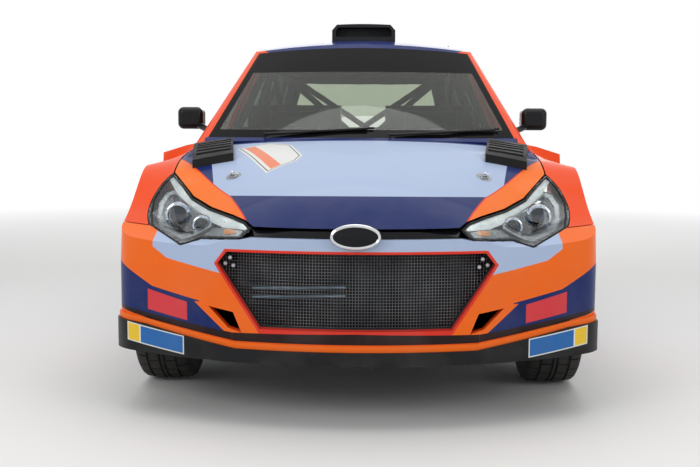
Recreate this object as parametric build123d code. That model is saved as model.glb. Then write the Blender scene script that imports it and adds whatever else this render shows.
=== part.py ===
from build123d import *
import math
import os

os.makedirs("parts", exist_ok=True)

# A five-door rally hatchback on sealed-road tyres, in millimetres.
# The nose points to -Y, +X is the car's left, +Z is up,
# and the origin is on the ground under the middle of the car.

# Driving dimensions
LENGTH = 4035
WIDTH = 1820
WHEELBASE = 2570
FRONT_OVERHANG = 820
TRACK = 1590
TYRE_R = 325
TYRE_W = 222
GAP = 6

NOSE_Y = -LENGTH / 2
FRONT_AXLE_Y = NOSE_Y + FRONT_OVERHANG
REAR_AXLE_Y = FRONT_AXLE_Y + WHEELBASE
HALF_W = WIDTH / 2
WHEEL_X = TRACK / 2
REACH = 2200

# Wall thicknesses
BODY_WALL = 55
CABIN_WALL = 46
FRAME_WALL = 26
PANEL_WALL = 22
BUMPER_WALL = 45
GLASS = 5
GLASS_SET_IN = 7
WELD = 1.5


# Drawing helpers

def outline(rows):
    """A face from rows of (u, v) or (u, v, bulge), anticlockwise; bulge arcs the stretch to the next row outwards."""
    edges = []
    for row, following in zip(rows, rows[1:] + rows[:1]):
        start, end = Vector(row[0], row[1]), Vector(following[0], following[1])
        along = end - start
        if len(row) > 2 and row[2]:
            middle = (start + end) / 2 + Vector(along.Y, -along.X).normalized() * row[2]
            edges.append(ThreePointArc(start, middle, end))
        else:
            edges.append(Line(start, end))
    return make_face(edges)


def across(y):
    """The upright plane across the car at y, its x along +X and its y up."""
    return Plane(origin=(0, y, 0), x_dir=(1, 0, 0), z_dir=(0, -1, 0))


def front_prism(rows, y0, y1):
    """An outline seen from the front, as (x, z) rows, run from y0 to y1."""
    return extrude(across(y1) * outline(rows), amount=y1 - y0)


def side_prism(rows, x0, x1):
    """An outline seen from the left side, as (y, z) rows, run from x0 to x1."""
    plane = Plane(origin=(x0, 0, 0), x_dir=(0, 1, 0), z_dir=(1, 0, 0))
    return extrude(plane * outline(rows), amount=x1 - x0)


def plan_prism(rows, z0, z1):
    """An outline seen from above, as (x, y) rows, run from z0 to z1."""
    return extrude(Pos(0, 0, z0) * outline(rows), amount=z1 - z0)


def block(x0, x1, y0, y1, z0, z1):
    return Pos((x0 + x1) / 2, (y0 + y1) / 2, (z0 + z1) / 2) * Box(x1 - x0, y1 - y0, z1 - z0)


def rod(start, end, radius):
    """A round bar between two points."""
    start, end = Vector(*start), Vector(*end)
    along = end - start
    plane = Plane(origin=start, z_dir=along.normalized())
    return extrude(plane * Circle(radius), amount=along.length)


def bent_rod(points, radius):
    """Round bar through the points, with a welded ball at each bend."""
    shape = rod(points[0], points[1], radius)
    for here, there in zip(points[1:-1], points[2:]):
        shape = shape + Pos(*here) * Sphere(radius + WELD) + rod(here, there, radius)
    return shape


def mirrored(shape):
    return mirror(shape, about=Plane.YZ)


def both(shape):
    return shape + mirrored(shape)


# Body form

# Sections across the car, each from the floor up the side to the flare's edge, in to the shoulder
# and over the crown. Columns: y, crown z, shoulder x, shoulder z, flare x, flare z, floor z
FRONT_SECTIONS = [
    (-2060, 625, 400, 560, 930, 480, 240),
    (-1930, 752, 500, 632, 930, 560, 240),
    (-1800, 838, 600, 662, 930, 620, 240),
    (-1660, 890, 680, 700, 930, 668, 240),
    (-1520, 926, 725, 768, 930, 716, 240),
    (-1330, 968, 765, 874, 930, 822, 240),
    (-1080, 1016, 785, 940, 930, 892, 240),
    (-808, 1050, 800, 985, 930, 944, 240),
]
MIDDLE_SECTIONS = [
    (-806, 1050, 800, 985, 848, 640, 240),
    (50, 1060, 806, 1005, 852, 660, 240),
    (960, 1080, 796, 1035, 846, 690, 240),
]
REAR_SECTIONS = [
    (960, 1080, 796, 1035, 930, 868, 240),
    (1372, 1085, 782, 1045, 930, 880, 240),
    (1700, 1080, 760, 1040, 930, 862, 260),
    (2060, 1060, 720, 1010, 930, 820, 330),
]
# Plan outlines, each at a height. Columns: z, nose y, nose corner y, tail y, tail corner y
PLAN_OUTLINES = [
    (200, -2000, -1700, 1990, 1800),
    (560, -2000, -1700, 2017.5, 1810),
    (780, -1962, -1660, 1965, 1770),
    (1150, -1700, -1400, 1900, 1700),
]
PLAN_CORNER_R = 170


def section(row, inset):
    """One body section as a face, drawn in by the inset."""
    y, crown_z, shoulder_x, shoulder_z, flare_x, flare_z, floor_z = row
    rows = [
        (-flare_x, floor_z),
        (flare_x, floor_z),
        (flare_x, flare_z),
        (shoulder_x, shoulder_z, crown_z - shoulder_z),
        (-shoulder_x, shoulder_z),
        (-flare_x, flare_z),
    ]
    face = outline(rows)
    if inset:
        face = offset(face, amount=-inset, kind=Kind.INTERSECTION)
    return across(y) * face


def plan_block(inset=0):
    """The body's outline from above, lofted up through its heights."""
    faces = []
    for z, nose, nose_corner, tail, tail_corner in PLAN_OUTLINES:
        rows = [
            (-HALF_W, nose_corner, nose_corner - nose),
            (HALF_W, nose_corner),
            (HALF_W, tail_corner, tail - tail_corner),
            (-HALF_W, tail_corner),
        ]
        face = outline(rows)
        face = fillet(face.vertices(), PLAN_CORNER_R)
        if inset:
            face = offset(face, amount=-inset, kind=Kind.INTERSECTION)
        faces.append(Pos(0, 0, z) * face)
    return loft(faces, ruled=True)


def hull_run(sections, inset=0):
    """A length of the body below the windows, solid, drawn in by the inset."""
    return loft([section(row, inset) for row in sections]) & plan_block(inset)


# Cabin outlines at two heights. Columns: z, windscreen centre y, front corner x, front corner y,
# side bulge, rear corner x, rear corner y, tail centre y
CABIN_OUTLINES = [
    (940, -1203, 767, -1003, 49, 759, 1827, 1958),
    (1600, 7, 512, 120, 26, 470, 1385, 1490),
]
CABIN_CORNER_R = 85
# Roof arcs. Columns: y, crown z
ROOF_ARCS = [(-1250, 1246), (-620, 1395), (-230, 1487), (250, 1552), (850, 1556), (1350, 1517), (1800, 1440)]
ROOF_ARC_HALF = 900
ROOF_ARC_DROP = 125


def corner_inset(bow, half, inset):
    """How far a corner moves along the car when the bowed end and the side are both drawn in."""
    slope = 2 * bow / half
    return inset * (math.hypot(1, slope) - slope)


def cabin_face(row, inset):
    """The cabin's outline from above at one height, drawn in by the inset."""
    z, screen_y, front_x, front_y, bulge, rear_x, rear_y, tail_y = row
    front_y += corner_inset(front_y - screen_y, front_x, inset)
    rear_y -= corner_inset(tail_y - rear_y, rear_x, inset)
    screen_y, tail_y, front_x, rear_x = screen_y + inset, tail_y - inset, front_x - inset, rear_x - inset
    rows = [
        (-front_x, front_y, front_y - screen_y),
        (front_x, front_y, bulge),
        (rear_x, rear_y, tail_y - rear_y),
        (-rear_x, rear_y, bulge),
    ]
    face = outline(rows)
    return Pos(0, 0, z) * fillet(face.vertices(), CABIN_CORNER_R - inset)


def cabin_block(inset=0):
    """Pillars, glass and roof, solid, drawn in by the inset."""
    glass = loft([cabin_face(row, inset) for row in CABIN_OUTLINES], ruled=True)
    arcs = []
    for y, crown in ROOF_ARCS:
        edge = crown - ROOF_ARC_DROP - inset
        rows = [
            (-ROOF_ARC_HALF, 900),
            (ROOF_ARC_HALF, 900),
            (ROOF_ARC_HALF, edge, ROOF_ARC_DROP),
            (-ROOF_ARC_HALF, edge),
        ]
        arcs.append(across(y) * outline(rows))
    return glass & loft(arcs)


def cabin_room(inset):
    """The room inside the cabin walls, carried down to the floor."""
    well = extrude(cabin_face(CABIN_OUTLINES[0], inset), amount=-660)
    return cabin_block(inset) + well


# Cutting outlines

ARCH_R = 390
ARCH_Z = 375
FRONT_HOUSE_X = 500
REAR_HOUSE_X = 600


def arch_bore(axle_y, x0, radius=ARCH_R):
    """Round space of a wheel arch on the left side, open below."""
    bore = Pos(x0 + REACH / 2, axle_y, ARCH_Z) * Rot(0, 90, 0) * Cylinder(radius, REACH)
    bore += block(x0, x0 + REACH, axle_y - radius, axle_y + radius, 0, ARCH_Z)
    return bore


FRONT_ARCHES = both(arch_bore(FRONT_AXLE_Y, FRONT_HOUSE_X))
REAR_ARCHES = both(arch_bore(REAR_AXLE_Y, REAR_HOUSE_X))

# Left headlamp from the front, as (x, z)
LAMP_ROWS = [
    (412, 669),
    (566, 659),
    (638, 637.5),
    (790, 690, 14),
    (822, 775, 10),
    (763, 875, 4),
    (648, 790),
    (559, 759),
    (458, 740),
    (402, 725),
    (372, 703),
]
# Half of the line under the bonnet from the front, from the middle outwards, as (x, z)
BONNET_LINE = [(372, 707), (402, 725), (458, 740), (559, 759), (648, 790), (763, 875), (772, 1200)]
# Half of the bumper's top line from the middle outwards, as (x, z)
BUMPER_TOP = [(372, 676), (412, 669), (566, 659), (638, 637.5), (790, 690), (950, 700)]
SPLITTER_TOP = [(0, 283), (430, 283), (780, 341), (950, 350)]
GRILLE_ROWS = [(-340, 355), (340, 355), (495, 582), (461, 625), (-461, 625), (-495, 582)]
SIDE_VENT_ROWS = [(405, 338), (455, 353), (529, 427), (436, 411)]
SLOT_TOP = 707
SLOT_BOTTOM = 676

# Doors from the left side, as (y, z); the rear one follows the wheel arch
FRONT_DOOR_ROWS = [
    (-797, 440, 0),
    (-770, 400),
    (168, 395),
    (168, 1000),
    (160, 1462, 4),
    (-95, 1426),
    (-797, 1036),
]
REAR_DOOR_ROWS = [
    (182, 395),
    (860, 398),
    (948, 440, -70),
    (1140, 762),
    (1228, 1040),
    (1120, 1404),
    (1060, 1458, 8),
    (174, 1464),
    (182, 1000),
]
FRONT_WINDOW_ROWS = [(-640, 1056), (116, 1060), (110, 1428, 3), (-66, 1402)]
REAR_WINDOW_ROWS = [(232, 1062), (1150, 1086), (1060, 1392), (1016, 1424, 6), (226, 1430)]
MIRROR_Y = -560


def grown(rows, amount):
    """An outline moved outwards by the amount, as a face."""
    return offset(outline(rows), amount=amount, kind=Kind.INTERSECTION)


def side_cut(rows, amount, x0=0, x1=REACH):
    """A side outline grown by the amount, on the left side only."""
    plane = Plane(origin=(x0, 0, 0), x_dir=(0, 1, 0), z_dir=(1, 0, 0))
    return extrude(plane * grown(rows, amount), amount=x1 - x0)


def front_cut(rows, amount, y0, y1):
    return extrude(across(y1) * grown(rows, amount), amount=y1 - y0)


def above_line(line, y0, y1, gap=0):
    """All above a half line given from the middle outwards, on both sides, drawn in by the gap."""
    half = [(x - gap, z + gap) for x, z in line]
    rows = [(-x, z) for x, z in reversed(half)] + half
    rows += [(half[-1][0], 2000), (-half[-1][0], 2000)]
    return front_prism(rows, y0, y1)


def below_line(line, y0, y1, lift=0):
    """All below a half line given from the middle outwards, on both sides."""
    half = [(x, z + lift) for x, z in line]
    rows = [(-half[-1][0], 0), (half[-1][0], 0)] + half[::-1] + [(-x, z) for x, z in half if x]
    return front_prism(rows, y0, y1)


def bonnet_plan(back):
    """The bonnet from above, its rear edge curved round the foot of the windscreen."""
    rows = [(-800, -2100), (800, -2100), (800, -885 + back, -190), (-800, -885 + back)]
    return plan_prism(rows, 200, 1300)


# Hulls that the panels are cut from
front = hull_run(FRONT_SECTIONS)
front_wall = front - hull_run(FRONT_SECTIONS, BODY_WALL)
front_skin = front - hull_run(FRONT_SECTIONS, PANEL_WALL)
tail = hull_run(REAR_SECTIONS)
tail_room = hull_run(REAR_SECTIONS, BODY_WALL)
flank = hull_run(MIDDLE_SECTIONS) + tail
flank_wall = flank - (hull_run(MIDDLE_SECTIONS, BODY_WALL) + tail_room)
cabin = cabin_block()
nose_zone = block(-REACH, REACH, -REACH, -1400, 0, 760)
nose_wall = (front & nose_zone) - hull_run(FRONT_SECTIONS, BUMPER_WALL)

door_openings = both(side_cut(FRONT_DOOR_ROWS, GAP) + side_cut(REAR_DOOR_ROWS, GAP))

nodes = {}

# Bonnet, with the raised louvred outlets at its rear corners
VENT_PLAN = [(515, -1322), (685, -1322), (733, -1000), (561, -1010)]
VENT_RISE = 17
bonnet = front_skin & above_line(BONNET_LINE, -2060, -860, GAP) & bonnet_plan(0)
vent_zone = both(plan_prism(VENT_PLAN, 800, 1300))
vent_base = front_skin & vent_zone
vents = vent_base + Pos(0, 0, VENT_RISE) * vent_base + Pos(0, 0, 2 * VENT_RISE) * vent_base
louvres = None
for row in range(5):
    slot_y = -1280 + row * 50
    shift = row * 7
    louvre = block(532 + shift, 678 + shift, slot_y, slot_y + 26, 800, 1300)
    louvres = louvre if louvres is None else louvres + louvre
vents -= both(louvres)
nodes["bonnet"] = bonnet - vent_zone
nodes["bonnet_vents"] = vents

# Scuttle along the foot of the windscreen, with the two wiper arms on their spindles
SCREEN_FOOT_Z = 1022
FOOT_HALF = 700
WIPER_ARMS = [
    [(-420, -1009, 998), (-420, -1006, 1036), (-200, -1010, 1049), (30, -999, 1062)],
    [(130, -1058, 1000), (130, -1056, 1036), (370, -985, 1048), (600, -884, 1060)],
]
screen_foot = block(-FOOT_HALF, FOOT_HALF, -REACH, -821, 0, SCREEN_FOOT_Z)
scuttle = (front_skin & above_line(BONNET_LINE, -2060, -808) & screen_foot) + (cabin & screen_foot)
scuttle = scuttle - cabin_room(CABIN_WALL) - bonnet_plan(GAP)
for points in WIPER_ARMS:
    scuttle += bent_rod(points, 6)
nodes["scuttle_panel"] = scuttle

# Front fenders with the wide flares, as thick as the whole wing
fenders = front_wall - above_line(BONNET_LINE, -2060, -899)
fenders -= block(-FOOT_HALF - 3, FOOT_HALF + 3, -REACH, -780, 640, 1300)
fenders -= both(front_cut(LAMP_ROWS, 3, -2060, -1250))
fenders -= below_line(BUMPER_TOP, -2060, -1400, 3)
fenders -= FRONT_ARCHES
fenders -= cabin
fenders -= block(-800, 800, -REACH, -780, 0, 640)
fenders -= block(-500, 500, -REACH, -1500, 0, 900)
nodes["front_fenders"] = fenders

# Front bumper with the grille opening, the side vents and the ridge above the splitter
under_bumper = plan_block(BUMPER_WALL) & block(-REACH, REACH, -REACH, REACH, 0, 420)
bumper = nose_wall & below_line(BUMPER_TOP, -2060, -1400)
RIDGE_REACH = 10
RIDGE_RISE = 22
RIDGE_HALF = HALF_W - 5
ridge = plan_block(-RIDGE_REACH) - plan_block(20)
ridge = ridge & below_line(SPLITTER_TOP, -2060, -1400, RIDGE_RISE)
ridge = ridge & block(-RIDGE_HALF, RIDGE_HALF, -REACH, -1400, 200, 400)
bumper = bumper - under_bumper + ridge
bumper -= below_line(SPLITTER_TOP, -2060, -1400)
bumper -= front_prism(GRILLE_ROWS, -2060, -1700)
bumper -= both(front_prism(SIDE_VENT_ROWS, -2060, -1700))
bumper -= FRONT_ARCHES
nodes["front_bumper"] = bumper

# Front splitter, the lowest lip of the nose
SPLITTER_REACH = 17.5
splitter = plan_block(-SPLITTER_REACH) - plan_block(BUMPER_WALL)
splitter = splitter & below_line(SPLITTER_TOP, -2060, -1400) & block(-HALF_W, HALF_W, -REACH, -1400, 234, 400)
nodes["front_splitter"] = splitter - FRONT_ARCHES

# Grille mesh, curved with the nose, with a grid of square holes
MESH_PITCH = 48
MESH_BAR = 9
MESH_WALL = 6
mesh = plan_block(BUMPER_WALL) - plan_block(BUMPER_WALL + MESH_WALL)
mesh = mesh & front_cut(GRILLE_ROWS, 12, -2060, -1700)
holes = []
for column in range(-10, 11):
    for row in range(6):
        x = column * MESH_PITCH
        z = 370 + row * MESH_PITCH * 0.92
        edge = 340 + (z + 20 - 355) * 155 / 227
        if z > 560:
            edge = 460
        if abs(x) + MESH_PITCH / 2 < edge:
            holes.append(Pos(x, -1900, z + 20) * Box(MESH_PITCH - MESH_BAR, 200, MESH_PITCH * 0.92 - MESH_BAR))
mesh -= holes
nodes["grille_mesh"] = mesh

# Dark slot over the bumper, with the blank oval badge
slot = (nose_wall - front_skin) & front_prism(
    [(-372, SLOT_BOTTOM), (372, SLOT_BOTTOM), (372, SLOT_TOP - GAP), (-372, SLOT_TOP - GAP)], -2060, -1860
)
badge = extrude(across(-1987) * Pos(0, 688) * Ellipse(90, 44), amount=14)
badge += block(-30, 30, -1990, -1950, 678, 699)
nodes["upper_grille"] = slot + badge

# Headlamps: a bowl with two round projectors, under a clear cover
LAMP_DEPTH = 100
lamp_space = front_prism(LAMP_ROWS, -2060, -1250) - arch_bore(FRONT_AXLE_Y, FRONT_HOUSE_X)
under_cover = hull_run(FRONT_SECTIONS, GLASS) & lamp_space
lamp_back = hull_run(FRONT_SECTIONS, LAMP_DEPTH)
cover = (front & lamp_space) - under_cover
lamp_body = under_cover - Pos(0, 12, -14) * lamp_back
cavity = (extrude(across(-1250) * grown(LAMP_ROWS, -9), amount=800) & under_cover) - lamp_back
bowl = lamp_body - cavity
PROJECTORS = [(690, -1560, 728, 46), (575, -1690, 702, 34)]
for x, y, z, r in PROJECTORS:
    unit = Pos(x, y, z) * Rot(90, 0, 0) * Cylinder(r, 60)
    unit += Pos(x, y - 30, z) * Sphere(r * 0.86)
    unit += rod((x, y, z), (x, y + 260, z), r * 0.5)
    bowl += unit & lamp_body
nodes["headlamps"] = both(bowl)
nodes["headlamp_covers"] = both(cover)

# Doors with their window frames, and their panes. Columns: name, outline, window
DOORS = [
    ("front", FRONT_DOOR_ROWS, FRONT_WINDOW_ROWS),
    ("rear", REAR_DOOR_ROWS, REAR_WINDOW_ROWS),
]
door_room = cabin_room(FRAME_WALL)
pane_skin = cabin_block(GLASS_SET_IN) - cabin_block(GLASS_SET_IN + GLASS)
for name, rows, window in DOORS:
    door = (flank_wall & side_cut(rows, 0)) + (cabin & side_cut(rows, 0))
    door = door - door_room - side_cut(window, 0) - arch_bore(REAR_AXLE_Y, REAR_HOUSE_X, ARCH_R + 12)
    pane = pane_skin & side_cut(window, 0)
    nodes[f"{name}_door_left"] = door
    nodes[f"{name}_door_right"] = mirrored(door)
    nodes[f"{name}_window_left"] = pane
    nodes[f"{name}_window_right"] = mirrored(pane)

# Door mirrors on their stalks
pod = Pos(822, MIRROR_Y, 1111) * Box(120, 120, 105)
pod = fillet(pod.edges(), 28)
pod += rod((800, MIRROR_Y - 20, 1085), (718, MIRROR_Y - 125, 1052), 15)
pod -= cabin
pod = pod & block(700, HALF_W, -REACH, REACH, 900, 1300)
nodes["mirror_left"] = pod
nodes["mirror_right"] = mirrored(pod)

# Tailgate with its glass and the rear wing
HATCH_HINGE_Y = 1500
HATCH_ROWS = [(-640, 790), (640, 790), (690, 1030), (588, 1640), (-588, 1640), (-690, 1030)]
HATCH_TAPER = 12
HATCH_BACK = 2000
HATCH_WALL = 30
HATCH_GLASS_ROWS = [(-560, 1090), (560, 1090, 0), (470, 1415, 10), (-470, 1415, 0)]
hatch_zone = extrude(across(HATCH_BACK) * outline(HATCH_ROWS), amount=HATCH_BACK - HATCH_HINGE_Y - GAP,
                     taper=HATCH_TAPER)
hatch_opening = extrude(across(HATCH_BACK) * grown(HATCH_ROWS, GAP), amount=HATCH_BACK - HATCH_HINGE_Y,
                        taper=HATCH_TAPER)
hatch = (tail & hatch_zone) + (cabin & hatch_zone)
hatch = hatch - cabin_block(HATCH_WALL) - (tail_room & hatch_zone)
hatch -= front_prism(HATCH_GLASS_ROWS, 1500, 2000)
nodes["tailgate"] = hatch
nodes["tailgate_glass"] = (cabin - cabin_block(GLASS)) & front_prism(HATCH_GLASS_ROWS, 1500, 2000)

WING_ROWS = [(1575, 1590), (1660, 1578, 4), (1835, 1606), (1830, 1612), (1700, 1600, 6)]
PLATE_ROWS = [(1560, 1520), (1850, 1545), (1862, 1640), (1600, 1632)]
STAY_ROWS = [(1560, 1430), (1690, 1430), (1740, 1590), (1620, 1584)]
WING_HALF = 560
wing = side_prism(WING_ROWS, -WING_HALF, WING_HALF)
for x in (-WING_HALF - 8, WING_HALF):
    wing += side_prism(PLATE_ROWS, x, x + 8)
for x in (-300, 280):
    wing += side_prism(STAY_ROWS, x, x + 20)
nodes["rear_wing"] = wing - cabin

# Roof panel and its air scoop
ROOF_HALF = 492
SCREEN_ROWS = [(-690, SCREEN_FOOT_Z), (690, SCREEN_FOOT_Z), (541, 1450, 24), (-541, 1450)]
ROOF_EDGE_Z = 1425
ROOF_WALL = 34
roof_zone = block(-ROOF_HALF, ROOF_HALF, -REACH, HATCH_HINGE_Y, ROOF_EDGE_Z, 2000)
screen_opening = front_prism(SCREEN_ROWS, -1200, -60)
nodes["roof_panel"] = (cabin - cabin_room(ROOF_WALL)) & roof_zone - screen_opening
scoop_sections = [(60, 170, 1620), (170, 166, 1628), (520, 120, 1562)]
scoop = loft([across(y) * outline([(-half, 1450), (half, 1450), (half, top - 30, 0), (half - 26, top, 4),
                                   (26 - half, top, 0), (-half, top - 30)])
              for y, half, top in scoop_sections], ruled=True)
scoop -= front_prism([(-150, 1556), (150, 1556), (150, 1588), (136, 1606), (-136, 1606), (-150, 1588)], 0, 150)
nodes["roof_scoop"] = scoop - cabin

# Windscreen
nodes["windscreen"] = (cabin - cabin_block(GLASS)) & screen_opening

# Body sides: sills, pillars, roof rails and rear quarters in one
SILL_BOTTOM = 232
REAR_BUMPER_TOP = 775
TAIL_LAMP_ROWS = [(560, 812), (800, 842), (834, 925), (800, 1010), (560, 1000)]
tail_lamp_zone = both(front_prism(TAIL_LAMP_ROWS, 1690, REACH)) - hatch_opening
rear_bumper_zone = block(-REACH, REACH, 1560, REACH, 0, REAR_BUMPER_TOP)
sides = flank_wall + cabin - cabin_room(CABIN_WALL)
sides -= block(-700, 700, -REACH, REACH, 0, 760)
sides -= block(-FOOT_HALF - 2, FOOT_HALF + 2, -REACH, -820, 0, SCREEN_FOOT_Z)
sides -= bonnet_plan(GAP)
sill = both(block(700, 800, -806, 978, SILL_BOTTOM, 386))
post = (cabin_block(34) - cabin_block(60)) & block(-REACH, REACH, 118, 232, 960, 1460)
post += both(front_prism([(700, 284), (784, 284), (784, 560), (758, 800), (758, 985), (700, 985)], 118, 232))
post += both(front_prism([(690, 284), (784, 284), (784, 560), (738, 895), (690, 895)], -900, -804)) - FRONT_ARCHES
post += both(block(700, 810, -805.5, -803.5, 260, 925))
sides -= door_openings
sides = sides + sill + post
sides -= REAR_ARCHES
sides -= screen_opening + hatch_opening + roof_zone + rear_bumper_zone + tail_lamp_zone
nodes["side_frames"] = sides

# Tail lamps and rear bumper
nodes["tail_lamps"] = (tail - tail_room) & tail_lamp_zone
rear_bumper = (tail - hull_run(REAR_SECTIONS, BUMPER_WALL)) & rear_bumper_zone
rear_bumper = rear_bumper - under_bumper - REAR_ARCHES - rod((-200, 1850, 350), (-200, 2100, 350), 58)
nodes["rear_bumper"] = rear_bumper

# Floor pan, bulkhead and raised rear floor
FLOOR_BOTTOM = 246
FLOOR_TOP = 284
REAR_FLOOR_Z = 430
REAR_STEP_Y = 985
floor = (plan_block(BUMPER_WALL) & block(-700, 700, -REACH, REAR_STEP_Y, FLOOR_BOTTOM, FLOOR_TOP))
floor += block(-110, 110, -880, REAR_STEP_Y, FLOOR_TOP, 420)
floor += block(-699, 699, -900, -882, FLOOR_TOP, 975)
floor += plan_prism([(-690, -925, 121), (690, -925), (690, -884), (-690, -884)], 955, 973)
floor += block(-699, 699, REAR_STEP_Y - 20, REAR_STEP_Y, FLOOR_TOP, REAR_FLOOR_Z + 20)
floor += plan_block(BUMPER_WALL) & block(-699, 699, REAR_STEP_Y - 20, REACH, REAR_FLOOR_Z, REAR_FLOOR_Z + 20)
floor = floor - FRONT_ARCHES - REAR_ARCHES

# Wheel arch liners with their inner walls
LINER = 5
liners = None
for axle_y, house_x, bottom in ((FRONT_AXLE_Y, FRONT_HOUSE_X, FLOOR_TOP), (REAR_AXLE_Y, REAR_HOUSE_X, REAR_FLOOR_Z + 20)):
    drum = Pos((house_x - LINER + 900) / 2, axle_y, ARCH_Z) * Rot(0, 90, 0)
    ring = drum * (Cylinder(ARCH_R, 900 - house_x + LINER) - Cylinder(ARCH_R - LINER, 900 - house_x + LINER))
    ring += Pos(house_x - LINER / 2, axle_y, ARCH_Z) * Rot(0, 90, 0) * Cylinder(ARCH_R, LINER)
    ring = ring & block(0, REACH, -REACH, REACH, bottom, 2000)
    ring -= rod((400, axle_y, TYRE_R), (700, axle_y, TYRE_R), 32)
    liners = ring if liners is None else liners + ring
liners = both(liners)
nodes["arch_liners"] = liners
nodes["floor_pan"] = floor - liners - scuttle - sides

# Engine and gearbox as one block, and the radiator with its two pipes
nodes["engine_block"] = block(-330, 350, -1440, -1070, FLOOR_TOP, 790)
radiator = block(-430, 430, -1850, -1806, FLOOR_TOP, 620)
for z in (432, 498):
    radiator += rod((-430, -1862, z), (-20, -1862, z), 14)
nodes["radiator"] = radiator

# Front suspension: struts, lower arms and drive shafts
KINGPIN_X = 720
KNUCKLE_BOTTOM = 205
KNUCKLE_TOP = 445
STRUT_X = 612
strut = rod((STRUT_X, FRONT_AXLE_Y, 450), (STRUT_X, FRONT_AXLE_Y, 764), 25)
strut += rod((STRUT_X, FRONT_AXLE_Y, 560), (STRUT_X, FRONT_AXLE_Y, 740), 42)
strut += rod((KINGPIN_X, FRONT_AXLE_Y, 452), (KINGPIN_X, FRONT_AXLE_Y, 474), 27)
strut += block(STRUT_X, KINGPIN_X, FRONT_AXLE_Y - 18, FRONT_AXLE_Y + 18, 452, 474)
arm = rod((KINGPIN_X, FRONT_AXLE_Y, 170), (KINGPIN_X, FRONT_AXLE_Y, 198), 30)
arm += side_prism([(FRONT_AXLE_Y - 24, 172), (FRONT_AXLE_Y + 24, 172), (FRONT_AXLE_Y + 24, 196),
                   (FRONT_AXLE_Y - 24, 196)], 440, KINGPIN_X)
arm += block(400, 470, FRONT_AXLE_Y - 60, FRONT_AXLE_Y + 160, 172, FLOOR_BOTTOM)
nodes["front_suspension"] = both(strut - liners) + both(arm) + rod(
    (350, FRONT_AXLE_Y, TYRE_R), (672, FRONT_AXLE_Y, TYRE_R), 13) + rod(
    (-672, FRONT_AXLE_Y, TYRE_R), (-330, FRONT_AXLE_Y, TYRE_R), 13)

# Rear suspension: uprights with stub axles, arms, struts, subframe and final drive
upright = rod((700, REAR_AXLE_Y, 215), (700, REAR_AXLE_Y, 440), 36)
upright += rod((700, REAR_AXLE_Y, TYRE_R), (803, REAR_AXLE_Y, TYRE_R), 22)
upright += block(640, 700, REAR_AXLE_Y - 20, REAR_AXLE_Y + 20, 405, 435)
upright += rod((640, REAR_AXLE_Y, 405), (640, REAR_AXLE_Y, 764), 21)
upright += rod((640, REAR_AXLE_Y, 540), (640, REAR_AXLE_Y, 740), 34)
upright += block(300, 700, REAR_AXLE_Y - 26, REAR_AXLE_Y + 26, 222, 246)
upright += rod((100, REAR_AXLE_Y, TYRE_R), (700, REAR_AXLE_Y, TYRE_R), 15)
upright -= liners
final_drive = block(-130, 130, REAR_AXLE_Y - 130, REAR_AXLE_Y + 130, 235, REAR_FLOOR_Z)
subframe = both(block(270, 350, REAR_AXLE_Y - 180, REAR_AXLE_Y + 180, 222, REAR_FLOOR_Z))
nodes["rear_suspension"] = both(upright) + final_drive + subframe

# Exhaust: front pipe under the floor, silencer and tailpipe
exhaust = bent_rod([(-200, -1000, 214), (-200, 1010, 214), (-200, 1130, 384), (-200, 1600, 384)], 28)
exhaust += block(-212, -188, -700, -660, 214, FLOOR_BOTTOM)
silencer = Pos(-200, 1690, 350) * Rot(90, 0, 0) * Cylinder(78, 260)
exhaust += silencer + rod((-200, 1800, 350), (-200, 1990, 350), 42) - rod((-200, 1900, 350), (-200, 1990, 350), 36)
exhaust += block(-212, -188, 1660, 1720, 400, REAR_FLOOR_Z)
nodes["exhaust"] = exhaust

# Dashboard with the steering wheel
DASH_HALF = 612
DASH_ROWS = [(-882, 770), (-640, 740), (-590, 800), (-610, 940), (-690, 975), (-882, 975)]
dash = side_prism(DASH_ROWS, -DASH_HALF, DASH_HALF)
rim_plane = Plane(origin=(370, -440, 890), x_dir=(1, 0, 0), z_dir=(0, -math.cos(math.radians(24)), -math.sin(math.radians(24))))
wheel = rim_plane * Torus(172, 15)
for turn in (90, 210, 330):
    wheel += rim_plane * Rot(0, 0, turn) * Pos(86, 0, 0) * Box(172, 26, 10)
wheel += rim_plane * Cylinder(42, 40)
wheel += rod((370, -440, 890), (370, -640, 801), 24)
nodes["dashboard"] = dash + wheel

# Two bucket seats
SEAT_SIDE = [(-150, 330), (400, 330), (508, 1150), (486, 1190), (398, 1186), (352, 1080), (350, 900),
             (262, 640), (-170, 540)]
SEAT_HOLLOW = [(-300, 452), (300, 404), (345, 430), (455, 1240), (-300, 1240)]
SEAT_HALF = 250
SEAT_RIM = 32
seat = side_prism(SEAT_SIDE, -SEAT_HALF, SEAT_HALF)
seat -= side_prism(SEAT_HOLLOW, SEAT_RIM - SEAT_HALF, SEAT_HALF - SEAT_RIM)
seat += block(-180, 180, 0, 300, FLOOR_TOP, 331)
nodes["seats"] = Pos(370, -365, 0) * seat + Pos(-370, -365, 0) * seat

# Roll cage: one hoop behind the seats, and a table of tubes. Columns: radius, points
HOOP_R = 22
HOOP_FOOT, HOOP_BEND, HOOP_TOP = (652, 170, FLOOR_TOP), (652, 170, 900), (500, 170, 1408)
LEG_FOOT, LEG_BEND, LEG_TOP = (664, -778, FLOOR_TOP), (664, -778, 870), (512, -130, 1362)
STAY_BEND, STAY_FOOT = (470, 1290, 770), (470, 1290, REAR_FLOOR_Z + 20)


def on_right(point):
    return (-point[0], point[1], point[2])


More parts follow.
